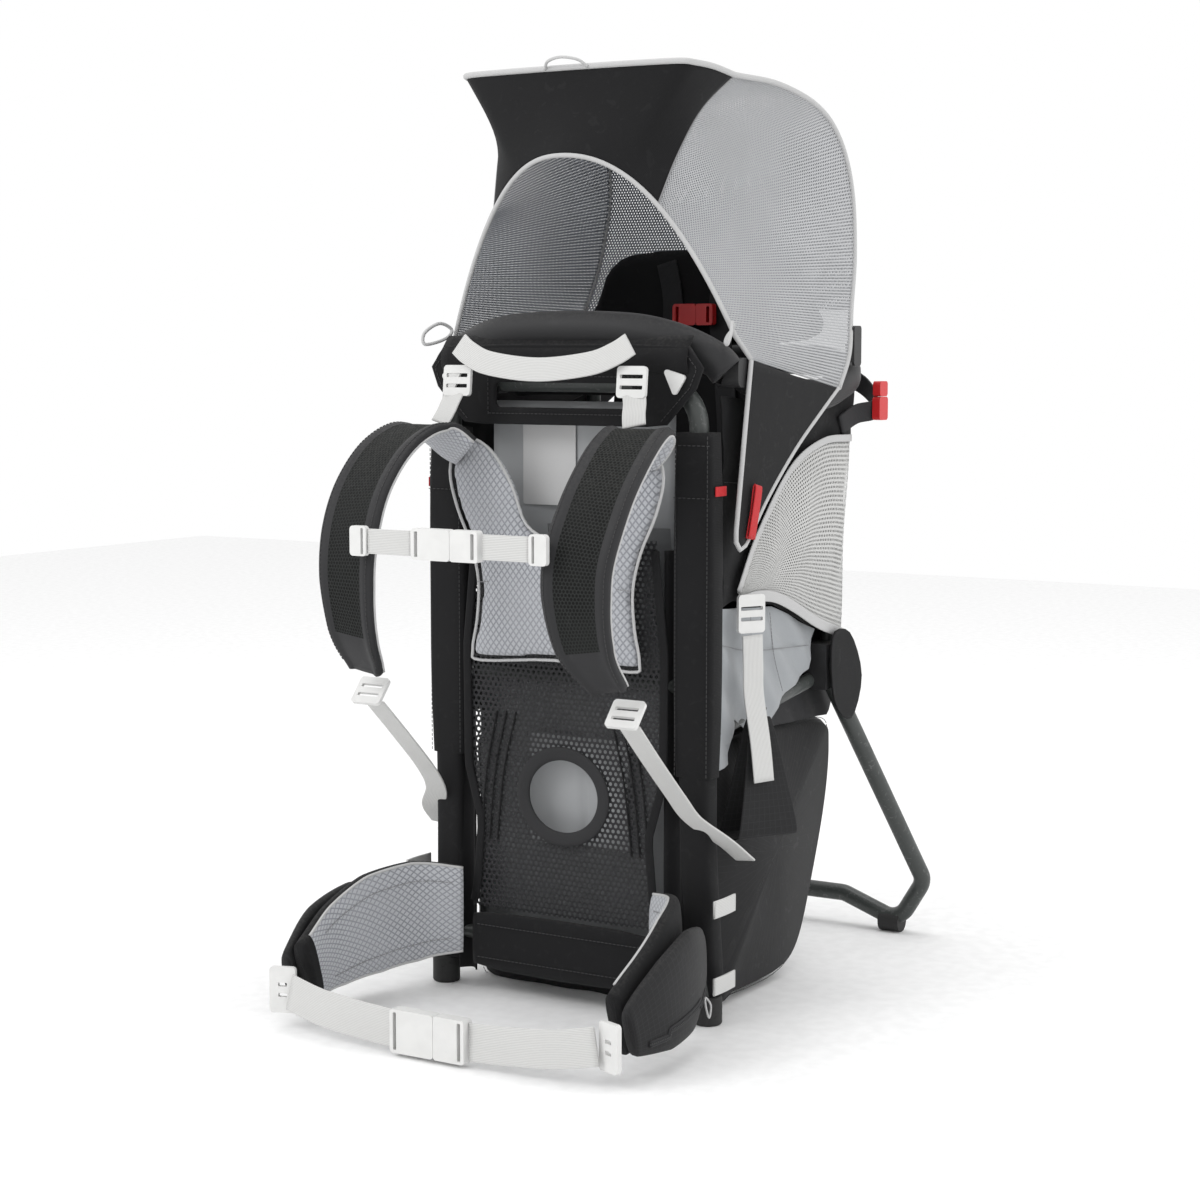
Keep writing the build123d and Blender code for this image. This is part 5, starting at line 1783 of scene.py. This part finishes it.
# --- Hip belt --------------------------------------------------------------------------------
@dataclass
class HipBelt:
    """Hip wings with lattice inside, zipped pockets outside and the waist webbing."""

    wing: list[tuple[float, float, float]] = field(default_factory=lambda: [
        (0.122, -0.016, 0.092), (0.158, -0.048, 0.092), (0.180, -0.100, 0.086), (0.190, -0.156, 0.072),
        (0.188, -0.206, 0.056)])
    wing_heights: list[float] = field(default_factory=lambda: [0.094, 0.110, 0.110, 0.092, 0.066])
    pocket: list[tuple[float, float, float]] = field(default_factory=lambda: [
        (0.188, -0.044, 0.082), (0.205, -0.100, 0.076), (0.2115, -0.160, 0.066), (0.205, -0.212, 0.052)])
    pocket_heights: list[float] = field(default_factory=lambda: [0.092, 0.108, 0.096, 0.066])

    def wings(self) -> None:
        """Padded wings, grey lattice towards the wearer and black outside."""
        line = evenly(smooth(through(self.wing), 10), 48)
        heights = blend_values(self.wing_heights, 48)
        rings = pad_rings(line, UP, heights, [0.019] * 48, 3.4, 40)

        def finish(around: float, along: float) -> int:
            """Lattice on the inner face, black elsewhere."""
            return 1 if 0.045 < around < 0.455 and along < 0.93 else 0

        wings = skin("hip_pads", rings, FABRIC.material(), extra=[LATTICE.material()], paint=finish)
        stand_in(both_sides(wings), "black_fabric", "hip_wings", fill=0.8)
        edges = [[ring[k] for ring in rings[:-3]] for k in (2, 18)]
        made = [pipe(f"wing_piping_{i}", e, 0.0016, PIPING.material(), sides=6) for i, e in enumerate(edges)]
        dress(both_sides(join("wing_piping", made)), "frame", "grey_lining")
        inner = [(ring[10] - ring[30]).normalized() for ring in rings]
        seams = []
        for k in (7, 13):
            seams.append([ring[k] + n * 0.0004 for ring, n in zip(rings[3:-8], inner[3:-8])])
        stitches = Stitching(0.004, 0.003, 0.0005).rows("wing_stitches", seams, THREAD_PALE)
        dress(stitches, "frame", "grey_lining")

    def pockets(self) -> None:
        """Full zipped pockets with a curved zip and small pale loops."""
        line = evenly(smooth(through(self.pocket), 10), 44)
        heights = blend_values(self.pocket_heights, 44)
        for i in range(44):
            heights[i] *= min(1.0, 0.72 + 0.28 * math.sin(math.pi * min(max(i / 43, 0.0), 1.0)) ** 0.5)
        thick = [0.021 * (0.65 + 0.35 * math.sin(math.pi * i / 43)) for i in range(44)]
        rings = pad_rings(line, UP, heights, thick, 2.7, 36)
        stand_in(both_sides(skin("hip_pouches", rings, BAG.material())), "black_fabric", "hip_pockets")
        zips = [[rings[i][23 + round(2 * math.sin(i / 43 * math.pi))] + Vector((0.0008, 0, 0))
                 for i in range(4, 40)]]
        tape = pad_rings(zips[0], UP, [0.007] * 36, [0.0016] * 36, 3.0, 10)
        dress(both_sides(skin("pouch_zip_tape", tape, DARK_WEB.material())), "frame", "black_fabric")
        teeth = [[p + Vector((0.0010, 0, 0)) for p in zips[0]]]
        stitches = Stitching(0.0026, 0.0014, 0.0008).rows("pouch_zip_teeth", teeth, THREAD)
        dress(stitches, "frame", "black_fabric")
        puller = zips[0][3]
        cord = smooth([puller + Vector(d) for d in (
            (0.002, 0, 0), (0.006, 0.004, -0.008), (0.006, 0.001, -0.020), (0.005, -0.004, -0.009))], 6, True)
        pull = pipe("pouch_zip_pull", cord, 0.0011, PIPING.material(), True, 6)
        dress(both_sides(pull), "frame", "webbing")

    def waist(self) -> None:
        """Waist webbing and the stabiliser webbing."""
        route = [(0.184, -0.2365, 0.042), (0.140, -0.242, 0.034),
                 (0.090, -0.243, 0.029), (0.043, -0.243, 0.026)]
        plug = webbing("waist_band_plug", route, Vector((0, 0.08, 1)), 0.038, STRAP_WEB.material())
        half = webbing("waist_band_half", route, Vector((0, 0.08, 1)), 0.038, STRAP_WEB.material())
        socket = other_side(half, "waist_band_socket")
        bpy.data.objects.remove(half)
        stand_in(socket, "webbing", "belt_webbing")
        dress(plug, "frame", "webbing")
        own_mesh(plug)
        made = []
        for z in (0.130, 0.050):
            made.append(webbing(f"clip_{z}", [(0.1915, -0.022, z), (0.1925, 0.0, z), (0.1915, 0.022, z)],
                                UP, 0.018, STRAP_WEB.material(), 0.0024))
        stand_in(both_sides(join("stabiliser_webbing", made)), "webbing", "stabiliser_clips")

    def build(self) -> None:
        """Builds the whole belt."""
        self.wings()
        self.pockets()
        self.waist()


# --- Stirrups and stand ----------------------------------------------------------------------
@dataclass
class FootLoops:
    """Ripstop foot loops hung from webbing at each side."""

    centre: tuple[float, float] = (0.192, 0.078)
    out: Vector = field(default_factory=lambda: Vector((0.87, -0.5, 0)).normalized())
    along: Vector = field(default_factory=lambda: Vector((0.5, 0.87, 0)).normalized())
    ring: list[tuple[float, float]] = field(default_factory=lambda: [
        (-0.002, 0.306), (0.008, 0.252), (0.014, 0.200), (0.006, 0.190), (-0.018, 0.190), (-0.022, 0.200),
        (-0.016, 0.252), (-0.010, 0.306)])

    def loops(self) -> None:
        """The loops, wider at the foot, one for each side."""
        base = at(self.centre[0], self.centre[1], 0)
        line = smooth([base + self.out * o + Vector((0, 0, z)) for o, z in self.ring], 6, closed=True)
        closed = line + [line[0]]
        widths = [2 * (0.038 - 0.024 * min(max((p.z - 0.186) / 0.124, 0), 1)) for p in closed]
        rings = pad_rings(closed, self.along, widths, [0.0022] * len(closed), 7.0, 20)
        rings[-1] = rings[0]
        right = skin("foot_loop_right", rings, BAG.material(), caps=False)
        left = other_side(right, "foot_loop_left")
        stand_in(right, "black_fabric", "stirrup_loop_right")
        stand_in(left, "black_fabric", "stirrup_loop_left")

    def straps(self) -> None:
        """Adjusting webbing above each foot loop."""
        strap = webbing("foot_webbing", [(0.190, 0.060, 0.402), (0.1905, 0.061, 0.370), (0.191, 0.062, 0.340),
                                         (0.199, 0.062, 0.290), (0.2035, 0.062, 0.250)], self.along, 0.024,
                        STRAP_WEB.material())
        stand_in(both_sides(strap), "webbing", "stirrup_webbing")

    def build(self) -> None:
        """Builds both foot loops."""
        self.loops()
        self.straps()


@dataclass
class Stand:
    """Fabric flaps over the kickstand hubs."""

    def build(self) -> None:
        """Builds the flaps."""
        outline = [(0.258, 0.378), (0.302, 0.380), (0.334, 0.328), (0.308, 0.282), (0.264, 0.308)]
        flap = cut_plate("hub_flaps", soft_outline(outline, 4), [], 0.0024, at(0.1842, 0, 0), REAR,
                         UP, FABRIC_SIDE.material(), 0.0008)
        stand_in(both_sides(flap), "black_fabric", "kickstand_flaps")


@dataclass
class Hardware:
    """Finishes of the rigid CAD parts that stay as they are."""

    finishes: dict[str, Moulded | Painted] = field(default_factory=lambda: {
        "painted_tube": TUBE, "light_plastic": PLASTIC, "black_plastic": PLASTIC_DARK,
        "red_plastic": PLASTIC_RED, "rubber": RUBBER, "steel": STEEL, "webbing": PLASTIC,
        "black_fabric": PLASTIC_DARK, "charcoal_sleeve": PLASTIC_DARK, "grey_mesh": PLASTIC,
        "grey_lining": PLASTIC_DARK, "grey_satin": PLASTIC, "black_mesh": PLASTIC_DARK})

    def build(self) -> None:
        """Gives every shown CAD node the finish of its own slot."""
        for name, obj in frame["nodes"].items():
            for slot in obj.material_slots:
                key = slot.material.name.split(".")[0] if slot.material else ""
                if key in self.finishes:
                    slot.material = self.finishes[key].material()
            LOG.info("%s keeps its shape, finish %s", name, [s.material.name for s in obj.material_slots])


# --- Studio ----------------------------------------------------------------------------------
@dataclass
class Studio:
    """Pale floor, soft lights and the camera."""

    place: tuple[float, float, float] = (1.3373, -2.1125, 0.70)
    heading: tuple[float, float] = (-0.5225, 0.8526)
    pitch: float = math.radians(6.09)
    lens: float = 72.0

    def camera(self) -> None:
        """Camera at the viewing angle."""
        data = bpy.data.cameras.new("camera")
        data.lens, data.sensor_width = self.lens, 36.0
        obj = bpy.data.objects.new("camera", data)
        bpy.context.scene.collection.objects.link(obj)
        obj.location = at(*self.place)
        look = Vector((self.heading[0] * math.cos(self.pitch), self.heading[1] * math.cos(self.pitch),
                       -math.sin(self.pitch)))
        obj.rotation_euler = look.to_track_quat("-Z", "Y").to_euler()
        bpy.context.scene.camera = obj

    def floor(self) -> None:
        """Wide pale floor."""
        size, cells = 9.0, 12
        verts = [Vector((size * (i / cells - 0.5), size * (j / cells - 0.5), 0.0))
                 for i in range(cells + 1) for j in range(cells + 1)]
        faces = [(i * (cells + 1) + j, (i + 1) * (cells + 1) + j, (i + 1) * (cells + 1) + j + 1,
                  i * (cells + 1) + j + 1) for i in range(cells) for j in range(cells)]
        obj = make("floor", verts, faces, None, Moulded("floor_paper", (0.93, 0.93, 0.93), 0.9, 0.00002,
                                                        0.0).material(), closed=False)

    def lights(self) -> None:
        """Large soft lights over a white surround."""
        world = bpy.data.worlds.new("surround")
        world.use_nodes = True
        world.node_tree.nodes["Background"].inputs[0].default_value = (1, 1, 1, 1)
        world.node_tree.nodes["Background"].inputs[1].default_value = 1.0
        bpy.context.scene.world = world
        for name, place, energy, size in (("key", (-1.2, -2.3, 2.2), 26.0, 1.3),
                                          ("side", (2.6, 0.2, 1.4), 11.0, 1.2),
                                          ("top", (0.0, 0.3, 3.2), 20.0, 1.8)):
            data = bpy.data.lights.new(name, "AREA")
            data.energy, data.size = energy, size
            obj = bpy.data.objects.new(name, data)
            obj.location = place
            obj.rotation_euler = (Vector((0, 0, 0.5)) - obj.location).to_track_quat("-Z", "Y").to_euler()
            bpy.context.scene.collection.objects.link(obj)
        bpy.context.scene.view_settings.view_transform = "Standard"

    def build(self) -> None:
        """Builds the studio."""
        self.camera()
        self.floor()
        self.lights()


def main() -> None:
    """Builds the camera and every sub-assembly in order."""
    logging.basicConfig(level=logging.INFO, format="%(name)s: %(message)s")
    for part in (Studio(), Hardware(), Shade(), Cockpit(), BackPanel(), Harness(), HipBelt(), FootLoops(),
                 Stand()):
        part.build()
        LOG.info("%s built", type(part).__name__)


if __name__ == "__main__":
    main()
